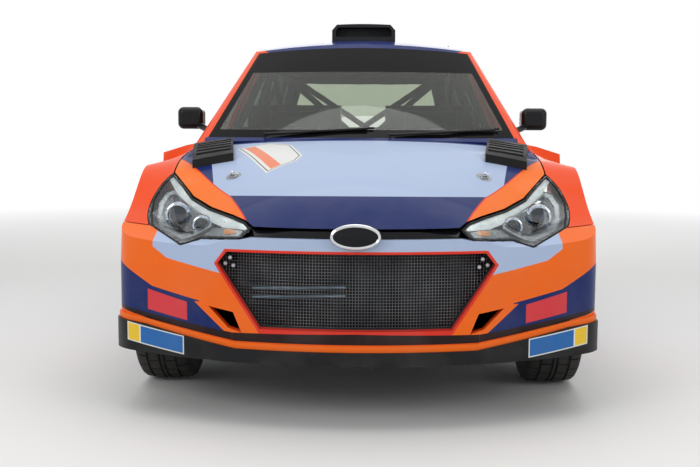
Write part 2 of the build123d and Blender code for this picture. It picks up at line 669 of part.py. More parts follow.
HOOP = [HOOP_FOOT, HOOP_BEND, HOOP_TOP, on_right(HOOP_TOP), on_right(HOOP_BEND), on_right(HOOP_FOOT)]
SIDE_TUBES = [
    (20, [LEG_FOOT, LEG_BEND, LEG_TOP, HOOP_TOP]),
    (18, [HOOP_TOP, STAY_BEND, STAY_FOOT]),
    (17, [(662, -778, 430), (652, 170, 820)]),
    (16, [(664, -778, 820), (650, 170, 430)]),
]
CROSS_TUBES = [
    (18, [LEG_TOP, on_right(LEG_TOP)]),
    (18, [HOOP_BEND, on_right(HOOP_BEND)]),
    (17, [HOOP_TOP, on_right(STAY_BEND)]),
    (16, [on_right(HOOP_TOP), STAY_BEND]),
    (17, [(650, 170, 430), on_right(HOOP_TOP)]),
    (16, [(-650, 170, 430), HOOP_TOP]),
]
cage = bent_rod(HOOP, HOOP_R)
for radius, points in SIDE_TUBES:
    tube = bent_rod(points, radius)
    cage = cage + tube + mirrored(tube)
for radius, points in CROSS_TUBES:
    cage += bent_rod(points, radius)
nodes["roll_cage"] = cage

# Wheels: tyre, rim with spokes, hub and brake disc; built round the origin with the outside to +X
RIM_R = 230
SPOKES = 10
TYRE_PROFILE = [(-89, RIM_R), (89, RIM_R), (89, 244), (108, 262), (111, 288), (98, 318, 7), (-98, 318),
                (-111, 288), (-108, 262), (-89, 244)]
RIM_PROFILE = [(-105, 226), (-72, 214), (74, 216), (105, 228), (105, 242), (92, 242), (90, RIM_R),
               (-90, RIM_R), (-92, 242), (-105, 242)]
HUB_PROFILE = [(-28, 24), (-28, 160), (-4, 160), (-4, 70), (38, 66), (48, 84), (62, 84), (70, 40), (70, 0),
               (12, 0), (12, 24)]


def turned(profile):
    """A solid of revolution about the X axis from (x, radius) rows."""
    return revolve(outline(profile), axis=Axis.X)


tyre = turned(TYRE_PROFILE)
rim = turned(RIM_PROFILE) + turned(HUB_PROFILE)
spoke = side_prism([(-15, 70), (15, 70), (11, 222), (-11, 222)], 52, 76)
for number in range(SPOKES):
    rim += Rot(number * 360 / SPOKES, 0, 0) * spoke
bolt = rod((30, 0, 56), (80, 0, 56), 8)
rim -= [Rot(number * 72, 0, 0) * bolt for number in range(5)]
for axle, axle_y in (("front", FRONT_AXLE_Y), ("rear", REAR_AXLE_Y)):
    place = Pos(WHEEL_X, axle_y, TYRE_R)
    nodes[f"{axle}_tyre_left"] = place * tyre
    nodes[f"{axle}_tyre_right"] = mirrored(place * tyre)
    nodes[f"{axle}_rim_left"] = place * rim
    nodes[f"{axle}_rim_right"] = mirrored(place * rim)

# Steering knuckles with stub axle, steering arm and brake caliper
knuckle = rod((KINGPIN_X, FRONT_AXLE_Y, KNUCKLE_BOTTOM), (KINGPIN_X, FRONT_AXLE_Y, KNUCKLE_TOP), 34)
knuckle += rod((KINGPIN_X, FRONT_AXLE_Y, TYRE_R), (803, FRONT_AXLE_Y, TYRE_R), 22)
knuckle += block(705, 730, FRONT_AXLE_Y, FRONT_AXLE_Y + 130, 262, 284)
caliper = block(745, 806, FRONT_AXLE_Y - 188, FRONT_AXLE_Y - 118, 265, 385)
caliper -= Pos(779, FRONT_AXLE_Y, TYRE_R) * Rot(0, 90, 0) * Cylinder(167, 36)
caliper += block(712, 752, FRONT_AXLE_Y - 150, FRONT_AXLE_Y, 300, 350)
caliper -= Pos(779, FRONT_AXLE_Y, TYRE_R) * Rot(0, 90, 0) * Cylinder(167, 36)
knuckle += caliper
nodes["knuckle_left"] = knuckle
nodes["knuckle_right"] = mirrored(knuckle)

for name, shape in nodes.items():
    export_step(shape, f"parts/{name}.step")
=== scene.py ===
import math

import bpy
from mathutils import Matrix, Vector


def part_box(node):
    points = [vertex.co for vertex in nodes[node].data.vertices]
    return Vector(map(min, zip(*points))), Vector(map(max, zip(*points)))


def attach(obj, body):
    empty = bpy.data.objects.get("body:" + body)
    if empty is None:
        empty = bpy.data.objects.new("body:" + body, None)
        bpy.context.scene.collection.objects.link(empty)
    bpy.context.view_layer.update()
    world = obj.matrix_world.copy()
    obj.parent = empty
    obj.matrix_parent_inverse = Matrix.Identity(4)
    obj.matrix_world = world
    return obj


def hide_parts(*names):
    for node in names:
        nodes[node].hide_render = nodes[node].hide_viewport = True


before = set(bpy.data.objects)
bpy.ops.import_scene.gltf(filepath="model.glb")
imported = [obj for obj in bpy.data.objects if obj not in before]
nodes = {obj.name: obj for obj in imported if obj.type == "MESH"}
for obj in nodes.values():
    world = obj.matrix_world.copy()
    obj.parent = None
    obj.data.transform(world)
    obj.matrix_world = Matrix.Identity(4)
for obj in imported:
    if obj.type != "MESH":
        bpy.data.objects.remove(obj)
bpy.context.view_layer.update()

# A rally hatchback in a white studio, in metres. The nose points to -Y and +X is the car's left.

SIDES = (("left", 1), ("right", -1))
AXLES = (("front", -1.1975), ("rear", 1.3725))
WHEEL_X = 0.795
HUB_Z = 0.325
NOSE_Y = -2.0
NOSE_SWEEP = 0.30
HALF_WIDTH = 0.91
# Half the width over which one livery colour turns into the next
EDGE = 0.0007
# The noise values between which mottled patches blend
PATCH_EDGES = (0.35, 0.65)


# Colour and shader nodes

def linear(colour):
    """An sRGB hex colour as linear RGBA."""
    channels = [int(colour[i:i + 2], 16) / 255 for i in (1, 3, 5)]
    return tuple(c / 12.92 if c <= 0.04045 else ((c + 0.055) / 1.055) ** 2.4 for c in channels) + (1.0,)


def add_node(tree, kind, links=None, **settings):
    """The outputs of a new shader node; links gives each input a value or another node's output."""
    node = tree.nodes.new("ShaderNode" + kind)
    for name, value in settings.items():
        setattr(node, name, value)
    for key, value in (links or {}).items():
        if isinstance(value, bpy.types.NodeSocket):
            tree.links.new(value, node.inputs[key])
        else:
            node.inputs[key].default_value = value
    return node.outputs


def start_material(name, colour, roughness, metallic=0.0, **sockets):
    """A named material, its node tree, its shader and its object coordinates."""
    material = bpy.data.materials.new(name)
    material.use_nodes = True
    tree = material.node_tree
    shader = tree.nodes["Principled BSDF"]
    shader.inputs["Base Color"].default_value = linear(colour)
    shader.inputs["Roughness"].default_value = roughness
    shader.inputs["Metallic"].default_value = metallic
    for socket, value in sockets.items():
        shader.inputs[socket.replace("_", " ")].default_value = value
    place = add_node(tree, "TexCoord")["Object"]
    return material, tree, shader, place


def mottle(tree, shader, place, colours, scale, roughness=None):
    """Soft patches between two colours, and between two roughnesses, at a scale in patches per metre."""
    noise = add_node(tree, "TexNoise", {"Vector": place, "Scale": scale, "Detail": 4.0})["Fac"]
    ramp = add_node(tree, "ValToRGB", {"Fac": noise})
    for stop, position, colour in zip(ramp["Color"].node.color_ramp.elements, PATCH_EDGES, colours):
        stop.position, stop.color = position, linear(colour)
    tree.links.new(ramp["Color"], shader.inputs["Base Color"])
    if roughness:
        spread = add_node(tree, "MapRange", {"Value": noise, "From Min": PATCH_EDGES[0],
                                             "From Max": PATCH_EDGES[1], "To Min": roughness[0],
                                             "To Max": roughness[1]})
        tree.links.new(spread["Result"], shader.inputs["Roughness"])


def bumped(tree, shader, height, strength, distance):
    """A height made a bump on the shader, its distance in metres."""
    bump = add_node(tree, "Bump", {"Height": height, "Strength": strength, "Distance": distance})
    tree.links.new(bump["Normal"], shader.inputs["Normal"])


# Livery regions. A plane (a, b, c, d) keeps the points where a|x| + b y + c z > d

def above(p, q):
    """The side above the line through two (x, z) points, x growing."""
    slope = (q[1] - p[1]) / (q[0] - p[0])
    return (-slope, 0, 1, p[1] - slope * p[0])


def below(p, q):
    return tuple(-value for value in above(p, q))


def outboard(p, q):
    """The side with more x than the line through two (x, y) points seen from above."""
    slope = (q[0] - p[0]) / (q[1] - p[1])
    return (1, -slope, 0, p[0] - slope * p[1])


def inboard(p, q):
    return tuple(-value for value in outboard(p, q))


def beside(p, q):
    """The side with more x than the line through two (x, z) points seen from the front."""
    slope = (q[0] - p[0]) / (q[1] - p[1])
    return (1, 0, -slope, p[0] - slope * p[1])


def within(p, q):
    return tuple(-value for value in beside(p, q))


def behind(p, q):
    """The side with more y than the line through two (y, z) points seen from the side."""
    slope = (q[0] - p[0]) / (q[1] - p[1])
    return (0, 1, -slope, p[0] - slope * p[1])


def ahead(p, q):
    return tuple(-value for value in behind(p, q))


def area(tree, point, planes):
    """A mask that is 1 where a point is on the kept side of every plane."""
    mask = None
    for a, b, c, d in planes:
        length = math.sqrt(a * a + b * b + c * c)
        dot = add_node(tree, "VectorMath", {0: point, 1: (a, b, c)}, operation="DOT_PRODUCT")
        side = add_node(tree, "MapRange", {"Value": dot["Value"], "From Min": d - EDGE * length,
                                           "From Max": d + EDGE * length})["Result"]
        if mask is not None:
            side = add_node(tree, "Math", {0: mask, 1: side}, operation="MINIMUM")[0]
        mask = side
    return mask


def painted(tree, colour, mask, new_colour):
    mix = add_node(tree, "Mix", {0: mask, 6: colour, 7: linear(new_colour)}, data_type="RGBA")
    return mix[2]


def folded(tree, place):
    """A point's coordinates, the size of its x, and the point folded over to the car's left."""
    parts = add_node(tree, "SeparateXYZ", {"Vector": place})
    size = add_node(tree, "Math", {0: parts["X"]}, operation="ABSOLUTE")[0]
    point = add_node(tree, "CombineXYZ", {"X": size, "Y": parts["Y"], "Z": parts["Z"]})[0]
    return parts, size, point


ORANGE = "#F34D14"
# The next two are lighter copies of the one orange, with painted light: the bumper's as lit from the front,
# the bonnet flanks' as lit from above
ORANGE_LIT_FRONT = "#F96E1E"
ORANGE_LIT_TOP = "#FA761E"
RED_LINE = "#E23A2B"
ICE_BLUE = "#AFC0DE"
NAVY = "#1C2C66"
NAVY_DEEP = "#18214C"
WHITE_VINYL = "#E4E5E2"
PANEL_RED = "#DB4249"
PANEL_BLUE = "#2F6CB0"
PANEL_YELLOW = "#F1C93C"
LEDGE_BLACK = "#2A1C1C"
VINYL_BLACK = "#17181A"
# Near black for the painted shade on the inner faces of panels
INNER_SHADE_BLACK = "#141517"
PLATE_CORAL = "#EE8A66"
DUST = "#B8AFA6"
CERAMIC_BLACK = "#121214"

# Lines of the bonnet's livery as (x, y) from above, and the plane over which its nose is pale
BONNET_LINES = (((0.700, -1.280), (0.485, -1.650)), ((0.485, -1.650), (0.370, -1.930)))
STRIPE_WIDTH = 0.005
BLUE_FLANK = ((0.600, -1.345), (0.576, -1.470))
BAND_TOP = (0, 0.06483, 1, 0.6996)
BONNET_REGIONS = [
    (ICE_BLUE, [BAND_TOP, inboard(*BLUE_FLANK)]),
    (RED_LINE, [outboard(*[(x - STRIPE_WIDTH, y) for x, y in line]) for line in BONNET_LINES]),
    (ORANGE_LIT_TOP, [outboard(*line) for line in BONNET_LINES]),
]
# The blank plate on the right half of the bonnet: its outline as (x, y) from above
PLATE_OUTLINE = [(-0.524, -1.137), (-0.390, -1.070), (-0.292, -1.151), (-0.230, -1.358), (-0.249, -1.427),
                 (-0.359, -1.524)]


def inside(outline, inset):
    """The planes that keep a convex (x, y) outline, drawn in by the inset."""
    middle = sum((Vector(point) for point in outline), Vector((0, 0))) / len(outline)
    planes = []
    for p, q in zip(outline, outline[1:] + outline[:1]):
        normal = Vector((p[1] - q[1], q[0] - p[0])).normalized()
        if normal.dot(middle - Vector(p)) < 0:
            normal.negate()
        planes.append((normal.x, normal.y, 0, normal.dot(Vector(p)) + inset))
    return planes


PLATE_BAND = [(0.919, 0.392, 0, -0.899), (-0.919, -0.392, 0, 0.853)]
PLATE_REGIONS = [
    (WHITE_VINYL, inside(PLATE_OUTLINE, 0.0)),
    (VINYL_BLACK, inside(PLATE_OUTLINE, 0.009)),
    (WHITE_VINYL, inside(PLATE_OUTLINE, 0.013)),
    (PLATE_CORAL, inside(PLATE_OUTLINE, 0.020) + PLATE_BAND),
]
ON_FRONT = (0, -1, 0, 1.5)
BUMPER_REGIONS = [
    (ICE_BLUE, [(-1, 0, 0, -0.52), (0, 0, 1, 0.6345), ON_FRONT]),
    (ICE_BLUE, [(1, 0, 0, 0.46), (-1, 0, 0, -0.752), above((0.508, 0.553), (0.692, 0.590)),
                above((0.692, 0.590), (0.751, 0.627)), ON_FRONT, (0, 0, -1, -0.715)]),
    (NAVY, [below((0.753, 0.482), (0.880, 0.551)), beside((0.442, 0.335), (0.5665, 0.4443))]),
    (NAVY, [below((0.5665, 0.4443), (0.753, 0.482)), beside((0.442, 0.335), (0.5665, 0.4443))]),
    (ORANGE_LIT_FRONT, [within((0.452, 0.325), (0.5765, 0.4343)), (1, 0, 0, 0.3), (0, 0, -1, -0.44)]),
    (RED_LINE, [(-1, 0, 0, -0.507), (0, 0, -1, -0.634), within((0.352, 0.3555), (0.507, 0.5825)),
                within((0.507, 0.582), (0.468, 0.634)), ON_FRONT]),
    (LEDGE_BLACK, [below((0.0, 0.346), (0.440, 0.337)), (-1, 0, 0, -0.44), ON_FRONT]),
    (LEDGE_BLACK, [below((0.440, 0.337), (0.770, 0.380)), (1, 0, 0, 0.44)]),
    (ORANGE_LIT_FRONT, [below((0.0, 0.3075), (0.430, 0.3075)), (-1, 0, 0, -0.43)]),
    (ORANGE_LIT_FRONT, [below((0.430, 0.3075), (0.780, 0.3625)), (1, 0, 0, 0.43)]),
    (PANEL_RED, [below((0.615, 0.4357), (0.774, 0.471)), above((0.6085, 0.367), (0.77, 0.3936)),
                 (1, 0, 0, 0.612), (-1, 0, 0, -0.772)]),
]
LIP_BLOCK = [below((0.622, 0.309), (0.858, 0.338)), above((0.636, 0.250), (0.862, 0.276))]
LIP_REGIONS = [
    (WHITE_VINYL, [below((0.622, 0.313), (0.858, 0.342)), above((0.636, 0.246), (0.862, 0.272)),
                   (1, 0, 0, 0.622), (-1, 0, 0, -0.858)]),
    (PANEL_BLUE, LIP_BLOCK + [(1, 0, 0, 0.626), (-1, 0, 0, -0.800)]),
    (PANEL_YELLOW, LIP_BLOCK + [(1, 0, 0, 0.806), (-1, 0, 0, -0.854)]),
]
# Sides, from the side as (y, z): a pale sweep from the front door, navy quarters and a navy sill
SIDE_REGIONS = [
    (ICE_BLUE, [behind((-0.62, 0.40), (-0.10, 1.00)), (0, 0, 1, 0.30)]),
    (WHITE_VINYL, [behind((0.28, 0.40), (0.80, 1.00))]),
    (NAVY, [behind((0.30, 0.40), (0.82, 1.00))]),
    (ORANGE, [behind((1.32, 0.40), (1.78, 1.00)), (0, 0, -1, -1.02)]),
    (NAVY, [(0, 0, -1, -0.395), (0, 1, 0, -0.85)]),
    (ORANGE, [ahead((0.10, 1.02), (0.60, 1.46)), (0, 0, 1, 1.0)]),
    (NAVY_DEEP, [(-0.3, 0, 1, 1.31)]),
]


def livery(name, base, regions, plate=(), bowed_back=None, lined=None):
    """Gloss enamel under clear lacquer, with vinyl regions, those of plate on one side only, and a faint
    orange peel. bowed_back is the bow and the limit of a navy rear strip, and the last argument the
    direction, (x towards the middle, z), of the faces painted near black as painted shade inside the body."""
    material, tree, shader, place = start_material(name, base, 0.34, Coat_Weight=0.16, Coat_Roughness=0.05,
                                                   Specular_IOR_Level=0.05)
    parts, size, point = folded(tree, place)
    colour = linear(base)
    for new_colour, planes in regions:
        colour = painted(tree, colour, area(tree, point, planes), new_colour)
    if bowed_back:
        bow, limit = bowed_back
        square = add_node(tree, "Math", {0: size, 1: 2.0}, operation="POWER")[0]
        back = add_node(tree, "Math", {0: square, 1: -bow, 2: parts["Y"]},
                        operation="MULTIPLY_ADD")[0]
        strip = add_node(tree, "MapRange", {"Value": back, "From Min": limit - EDGE,
                                            "From Max": limit + EDGE})["Result"]
        colour = painted(tree, colour, strip, NAVY)
    for new_colour, planes in plate:
        colour = painted(tree, colour, area(tree, place, planes), new_colour)
    # Painted shade: faces turned into the car, or down from the roof, are painted near black
    if lined:
        inward, up = lined
        facing = add_node(tree, "TexCoord")["Normal"]
        facing = add_node(tree, "SeparateXYZ", {"Vector": facing})
        left = add_node(tree, "Math", {0: parts["X"]}, operation="SIGN")[0]
        towards = add_node(tree, "Math", {0: facing["X"], 1: left}, operation="MULTIPLY")[0]
        towards = add_node(tree, "Math", {0: towards, 1: -inward}, operation="MULTIPLY")[0]
        towards = add_node(tree, "Math", {0: facing["Z"], 1: up, 2: towards},
                           operation="MULTIPLY_ADD")[0]
        inner_shade = add_node(tree, "MapRange", {"Value": towards, "From Min": 0.45, "From Max": 0.55})
        colour = painted(tree, colour, inner_shade["Result"], INNER_SHADE_BLACK)
    dust = add_node(tree, "TexNoise", {"Vector": place, "Scale": 7.0, "Detail": 6.0})["Fac"]
    dull = add_node(tree, "MapRange", {"Value": dust, "From Min": 0.4, "From Max": 0.75, "To Min": 0.0,
                                       "To Max": 0.05})["Result"]
    tree.links.new(painted(tree, colour, dull, DUST), shader.inputs["Base Color"])
    spread = add_node(tree, "MapRange", {"Value": dust, "To Min": 0.26, "To Max": 0.42})
    tree.links.new(spread["Result"], shader.inputs["Roughness"])
    # Orange peel of about 3 mm
    peel = add_node(tree, "TexNoise", {"Vector": place, "Scale": 330.0, "Detail": 1.0})["Fac"]
    bumped(tree, shader, peel, 0.04, 0.001)
    return material


bonnet_enamel = livery("enamel_bonnet", NAVY, BONNET_REGIONS, PLATE_REGIONS, bowed_back=(0.297, -1.105))
scuttle_enamel = livery("moulded_scuttle", NAVY, [(VINYL_BLACK, [(0, 0, 1, 1.022)])])
bumper_enamel = livery("enamel_bumper", ORANGE_LIT_FRONT, BUMPER_REGIONS)
fender_enamel = livery("enamel_fenders", ORANGE, [], lined=(1, 0))
side_enamel = livery("enamel_sides", ORANGE, SIDE_REGIONS, lined=(1, 0))
roof_enamel = livery("enamel_roof", NAVY, [], lined=(0, -1))
lip_plastic = livery("moulded_lip", "#202123", LIP_REGIONS)


def moulded_plastic(name, colours, roughness, grain=900.0, bump=0.12):
    """Injection-moulded polypropylene or ABS: a fine spark-eroded grain, greyer where it is scuffed."""
    material, tree, shader, place = start_material(name, colours[0], roughness, Specular_IOR_Level=0.2)
    mottle(tree, shader, place, colours, 9.0, (roughness - 0.08, roughness + 0.1))
    noise = add_node(tree, "TexNoise", {"Vector": place, "Scale": grain, "Detail": 2.0})["Fac"]
    bumped(tree, shader, noise, bump, 0.0006)
    return material


satin_plastic = moulded_plastic("moulded_polypropylene_black", ("#1B1C1E", "#26272A"), 0.46)
duct_plastic = moulded_plastic("moulded_duct_black", ("#101112", "#1A1918"), 0.55)
gloss_plastic = moulded_plastic("gloss_abs_black", ("#0E0F11", "#15161A"), 0.2, bump=0.02)
liner_felt = moulded_plastic("pressed_felt_liner", ("#141414", "#232221"), 0.85, 500.0, 0.5)
grey_trim = moulded_plastic("moulded_polypropylene_grey", ("#222326", "#2C2D30"), 0.5)
lamp_bezel = moulded_plastic("lamp_bezel_satin_grey", ("#25292E", "#3A4148"), 0.3, bump=0.04)
floor_paint = moulded_plastic("primer_grey_floor", ("#2E3033", "#3B3D40"), 0.6)
cage_paint = moulded_plastic("powder_coat_graphite", ("#2B2D30", "#34363A"), 0.42, 700.0, 0.2)


def metal(name, colours, roughness, wear=14.0, metallic=1.0):
    """Bare or plated metal with faint patches of polish and handling."""
    material, tree, shader, place = start_material(name, colours[0], roughness, metallic)
    mottle(tree, shader, place, colours, wear, (max(roughness - 0.07, 0.03), roughness + 0.1))
    return material


chrome = metal("chromed_steel", ("#D9DBDD", "#C7CACD"), 0.07)
steel = metal("brushed_steel", ("#9A9CA0", "#86888C"), 0.32)
pipe_alloy = metal("blue_anodised_pipe", ("#7F95A3", "#5E7480"), 0.3)
aluminium = metal("machined_aluminium", ("#B7B9BC", "#A3A5A8"), 0.3)
burnt_steel = metal("heat_stained_steel", ("#7B6A5C", "#8E8880"), 0.35)
cast_iron = metal("cast_iron", ("#3B3937", "#57524D"), 0.6)
reflector_metal = metal("vapour_coated_reflector", ("#C4CAD2", "#8FA0B4"), 0.12, 60.0)
silver_bezel = metal("satin_silver_bezel", ("#DDE3E1", "#C9D0D0"), 0.34, metallic=0.45)
ring_chrome = metal("smoked_chrome", ("#6E7376", "#8D9294"), 0.22)


def gunmetal_rim():
    """Cast aluminium wheels in satin gunmetal lacquer, dusty in patches."""
    material, tree, shader, place = start_material("gunmetal_lacquer", "#33363A", 0.34, 0.65,
                                                   Coat_Weight=0.4)
    mottle(tree, shader, place, ("#2E3135", "#454548"), 12.0, (0.3, 0.46))
    return material


def tyre_rubber():
    """Carbon-black rubber: matt, grey in patches of dust, with a fine grain."""
    material, tree, shader, place = start_material("tyre_rubber", "#1A1A1B", 0.82)
    mottle(tree, shader, place, ("#1B1B1C", "#33302D"), 22.0, (0.72, 0.92))
    grain = add_node(tree, "TexNoise", {"Vector": place, "Scale": 620.0, "Detail": 3.0})["Fac"]
    bumped(tree, shader, grain, 0.35, 0.0008)
    return material


def radiator_core():
    """Aluminium core with fins about 5 mm apart, coarser than real ones so that they show, with painted
    shade between them.
    """
    material, tree, shader, place = start_material("radiator_fins", "#4A4C4E", 0.5, 0.8)
    wave = add_node(tree, "TexWave", {"Vector": place, "Scale": 32.0, "Distortion": 0.4,
                                      "Detail": 1.0}, bands_direction="X")["Fac"]
    # Painted shade: the gaps between the fins are near black, the fins a dark grey
    ramp = add_node(tree, "ValToRGB", {"Fac": wave})
    for stop, colour in zip(ramp["Color"].node.color_ramp.elements, ("#0E0F11", "#34373A")):
        stop.color = linear(colour)
    tree.links.new(ramp["Color"], shader.inputs["Base Color"])
    bumped(tree, shader, wave, 0.6, 0.002)
    return material


def laminated_glass(name, tint, regions=(), ior=1.24, reflection=0.1):
    """Clear glass with baked black ceramic edges and bands; its low index lets a dark cabin show."""
    material, tree, shader, place = start_material(name, tint, 0.0, IOR=ior, Transmission_Weight=1.0,
                                                   Specular_IOR_Level=reflection)
    if regions:
        point = folded(tree, place)[2]
        mask = None
        for planes in regions:
            side = area(tree, point, planes)
            if mask is not None:
                side = add_node(tree, "Math", {0: mask, 1: side}, operation="MAXIMUM")[0]
            mask = side
        clear = add_node(tree, "MapRange", {"Value": mask, "To Min": 1.0, "To Max": 0.0})
        tree.links.new(clear["Result"], shader.inputs["Transmission Weight"])
        tree.links.new(painted(tree, linear(tint), mask, CERAMIC_BLACK), shader.inputs["Base Color"])
    return material


screen_glass = laminated_glass("laminated_screen_glass", "#C2CABE", [
    [(0, 0, 1, 1.338)], [(0, 0, -1, -1.058)], [beside((0.655, 1.022), (0.506, 1.450))]])
side_glass = laminated_glass("toughened_side_glass", "#8E9896")
rear_glass = laminated_glass("toughened_rear_glass", "#C6CEBC", [
    [(0, 0, 1, 1.372)], [(0, 0, -1, -1.118)], [beside((0.520, 1.090), (0.430, 1.415))]])
lamp_cover = laminated_glass("clear_polycarbonate", "#F2F5F6", ior=1.25, reflection=0.3)
lens_glass = laminated_glass("moulded_lens_glass", "#8FA8C4", ior=1.4, reflection=0.3)
mirror_glass = metal("silvered_mirror", ("#DADFE2", "#D2D7DA"), 0.03)


def coloured_lens(name, colour, rows):
    """Moulded acrylic with optic ribs a few millimetres apart."""
    material, tree, shader, place = start_material(name, colour, 0.12, Coat_Weight=0.6,
                                                   Transmission_Weight=0.25)
    ribs = add_node(tree, "TexWave", {"Vector": place, "Scale": rows}, bands_direction="Z")["Fac"]
    bumped(tree, shader, ribs, 0.5, 0.002)
    return material


red_lens = coloured_lens("acrylic_red", "#A5121A", 28.0)
amber_lens = coloured_lens("acrylic_amber", "#E08A2E", 34.0)

# Waves to a metre in a wave texture of scale 1
WAVES = 3.15


def woven_fabric(name, colours, threads):
    """A plain weave, its threads counted to the metre; a wave takes two of them."""
    material, tree, shader, place = start_material(name, colours[0], 0.9, Sheen_Weight=0.25)
    mottle(tree, shader, place, colours, 30.0)
    weave = [add_node(tree, "TexWave", {"Vector": place, "Scale": threads / (2 * WAVES)},
                      bands_direction=direction)["Fac"] for direction in ("X", "Z")]
    cloth = add_node(tree, "Math", {0: weave[0], 1: weave[1]}, operation="ADD")[0]
    bumped(tree, shader, cloth, 0.5, 0.0012)
    return material


seat_fabric = woven_fabric("knitted_polyester_black", ("#18191C", "#222327"), 380.0)
webbing = woven_fabric("harness_webbing_red", ("#A92A2C", "#C23A36"), 520.0)
suede = woven_fabric("suede_grip", ("#202022", "#2B2B2D"), 800.0)
gel_coat = moulded_plastic("carbon_gel_coat", ("#15171A", "#1D1F23"), 0.25, bump=0.05)
mesh_paint = moulded_plastic("painted_steel_mesh", ("#63666A", "#85888A"), 0.45)
rubber = moulded_plastic("extruded_rubber", ("#101112", "#191A1B"), 0.6)

NODE_MATERIALS = {
    "bonnet": bonnet_enamel, "bonnet_vents": duct_plastic, "scuttle_panel": scuttle_enamel,
    "front_fenders": fender_enamel, "front_bumper": bumper_enamel, "front_splitter": lip_plastic,
    "grille_mesh": mesh_paint, "upper_grille": gloss_plastic, "headlamps": lamp_bezel,
    "headlamp_covers": lamp_cover, "tailgate": side_enamel, "tailgate_glass": rear_glass,
    "rear_wing": satin_plastic, "roof_panel": roof_enamel, "roof_scoop": satin_plastic,
    "windscreen": screen_glass, "side_frames": side_enamel, "tail_lamps": red_lens,
    "rear_bumper": side_enamel, "arch_liners": liner_felt, "floor_pan": floor_paint,
    "engine_block": cast_iron, "radiator": radiator_core(), "front_suspension": steel,
    "rear_suspension": steel, "exhaust": burnt_steel, "dashboard": grey_trim, "seats": gel_coat,
    "roll_cage": cage_paint,
}
rim_lacquer = gunmetal_rim()
tread_rubber = tyre_rubber()
for side, _ in SIDES:
    NODE_MATERIALS[f"mirror_{side}"] = gloss_plastic
    NODE_MATERIALS[f"knuckle_{side}"] = cast_iron
    for end, _ in AXLES:
        NODE_MATERIALS[f"{end}_door_{side}"] = side_enamel
        NODE_MATERIALS[f"{end}_window_{side}"] = side_glass
        NODE_MATERIALS[f"{end}_rim_{side}"] = rim_lacquer
        NODE_MATERIALS[f"{end}_tyre_{side}"] = tread_rubber
for node, material in NODE_MATERIALS.items():
    slots = nodes[node].data.materials
    slots.clear()
    slots.append(material)


# Modelling by hand: each piece starts from a primitive and is shaped in edit mode

def deselect():
    bpy.ops.object.select_all(action="DESELECT")


def activate(piece):
    bpy.context.view_layer.objects.active = piece


def go_to(mode):
    bpy.ops.object.mode_set(mode=mode)


def pick_all(action="SELECT"):
    bpy.ops.mesh.select_all(action=action)


def extrude(step):
    bpy.ops.mesh.extrude_region_move(TRANSFORM_OT_translate={"value": step})


def face_outwards():
    """Turns the faces of the edited mesh outwards and leaves edit mode."""
    pick_all()
    bpy.ops.mesh.normals_make_consistent(inside=False)
    go_to("OBJECT")


def draw_line(name, points):
    """A new mesh of one vertex drawn on through the points by extruding; it stays in edit mode."""
    deselect()
    bpy.ops.mesh.primitive_plane_add(size=0.01, location=(0, 0, 0))
    piece = bpy.context.object
    piece.name = name
    go_to("EDIT")
    bpy.ops.mesh.select_mode(type="VERT")
    pick_all()
    bpy.ops.mesh.merge(type="CENTER")
    bpy.ops.transform.translate(value=points[0])
    for here, there in zip(points, points[1:]):
        extrude(Vector(there) - Vector(here))
    pick_all()
    return piece


def make_plate(name, points, thickness):
    """A closed outline filled and extruded by the thickness vector."""
    piece = draw_line(name, points)
    bpy.ops.mesh.edge_face_add()
    extrude(thickness)
    face_outwards()
    return piece


def make_slab(name, x0, x1, first, second, thickness):
    """A four-sided plate between two (y, z) edges that run across the car."""
    return make_plate(name, [(x0, *first), (x1, *first), (x1, *second), (x0, *second)], (0, thickness, 0))


def turn_profile(name, points, steps, axis=(0, 0, 1), centre=(0, 0, 0)):
    """A profile spun once round an axis."""
    piece = draw_line(name, points)
    bpy.ops.mesh.spin(steps=steps, angle=math.tau, center=centre, axis=axis)
    pick_all()
    bpy.ops.mesh.remove_doubles(threshold=0.00005)
    face_outwards()
    return piece


def turn_upright(name, profile, steps):
    """A profile of (radius, height) points turned about Z."""
    return turn_profile(name, [(radius, 0, height) for radius, height in profile], steps)


def close_line(piece):
    """Joins the two ends of a drawn line and leaves edit mode."""
    pick_all("DESELECT")
    go_to("OBJECT")
    for end in (0, -1):
        piece.data.vertices[end].select = True
    go_to("EDIT")
    bpy.ops.mesh.edge_face_add()
    go_to("OBJECT")


def draw_bead(name, points, radius, sides=8, closed=False):
    """A round bead, wire or tube along the points."""
    piece = draw_line(name, points)
    if closed:
        close_line(piece)
    go_to("OBJECT")
    bpy.ops.object.convert(target="CURVE")
    piece = bpy.context.object
    piece.data.bevel_depth = radius
    piece.data.bevel_resolution = sides // 4
    piece.data.use_fill_caps = True
    bpy.ops.object.convert(target="MESH")
    return bpy.context.object


def apply_modifier(piece, kind, **settings):
    activate(piece)
    modifier = piece.modifiers.new("shape", kind)
    for name, value in settings.items():
        setattr(modifier, name, value)
    bpy.ops.object.modifier_apply(modifier=modifier.name)


def put_on(piece, material, slot, body="body", bevel=0.0, angle=35):
    """Bevels and smooths a finished piece, gives it its material and puts it on its body."""
    deselect()
    piece.select_set(True)
    if bevel:
        apply_modifier(piece, "BEVEL", width=bevel, segments=2, limit_method="ANGLE")
    activate(piece)
    bpy.ops.object.shade_smooth_by_angle(angle=math.radians(angle))
    piece.data.materials.clear()
    piece.data.materials.append(material)
    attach(piece, body)
    return piece


def copy_piece(piece, name, place=None, mirror=False):
    """A copy with its own mesh, moved by a matrix or mirrored to the car's right."""
    twin = bpy.data.objects.new(name, piece.data.copy())
    bpy.context.scene.collection.objects.link(twin)
    if mirror:
        twin.data.transform(Matrix.Scale(-1, 4, (1, 0, 0)))
        twin.data.flip_normals()
    if place:
        twin.data.transform(place)
    return twin


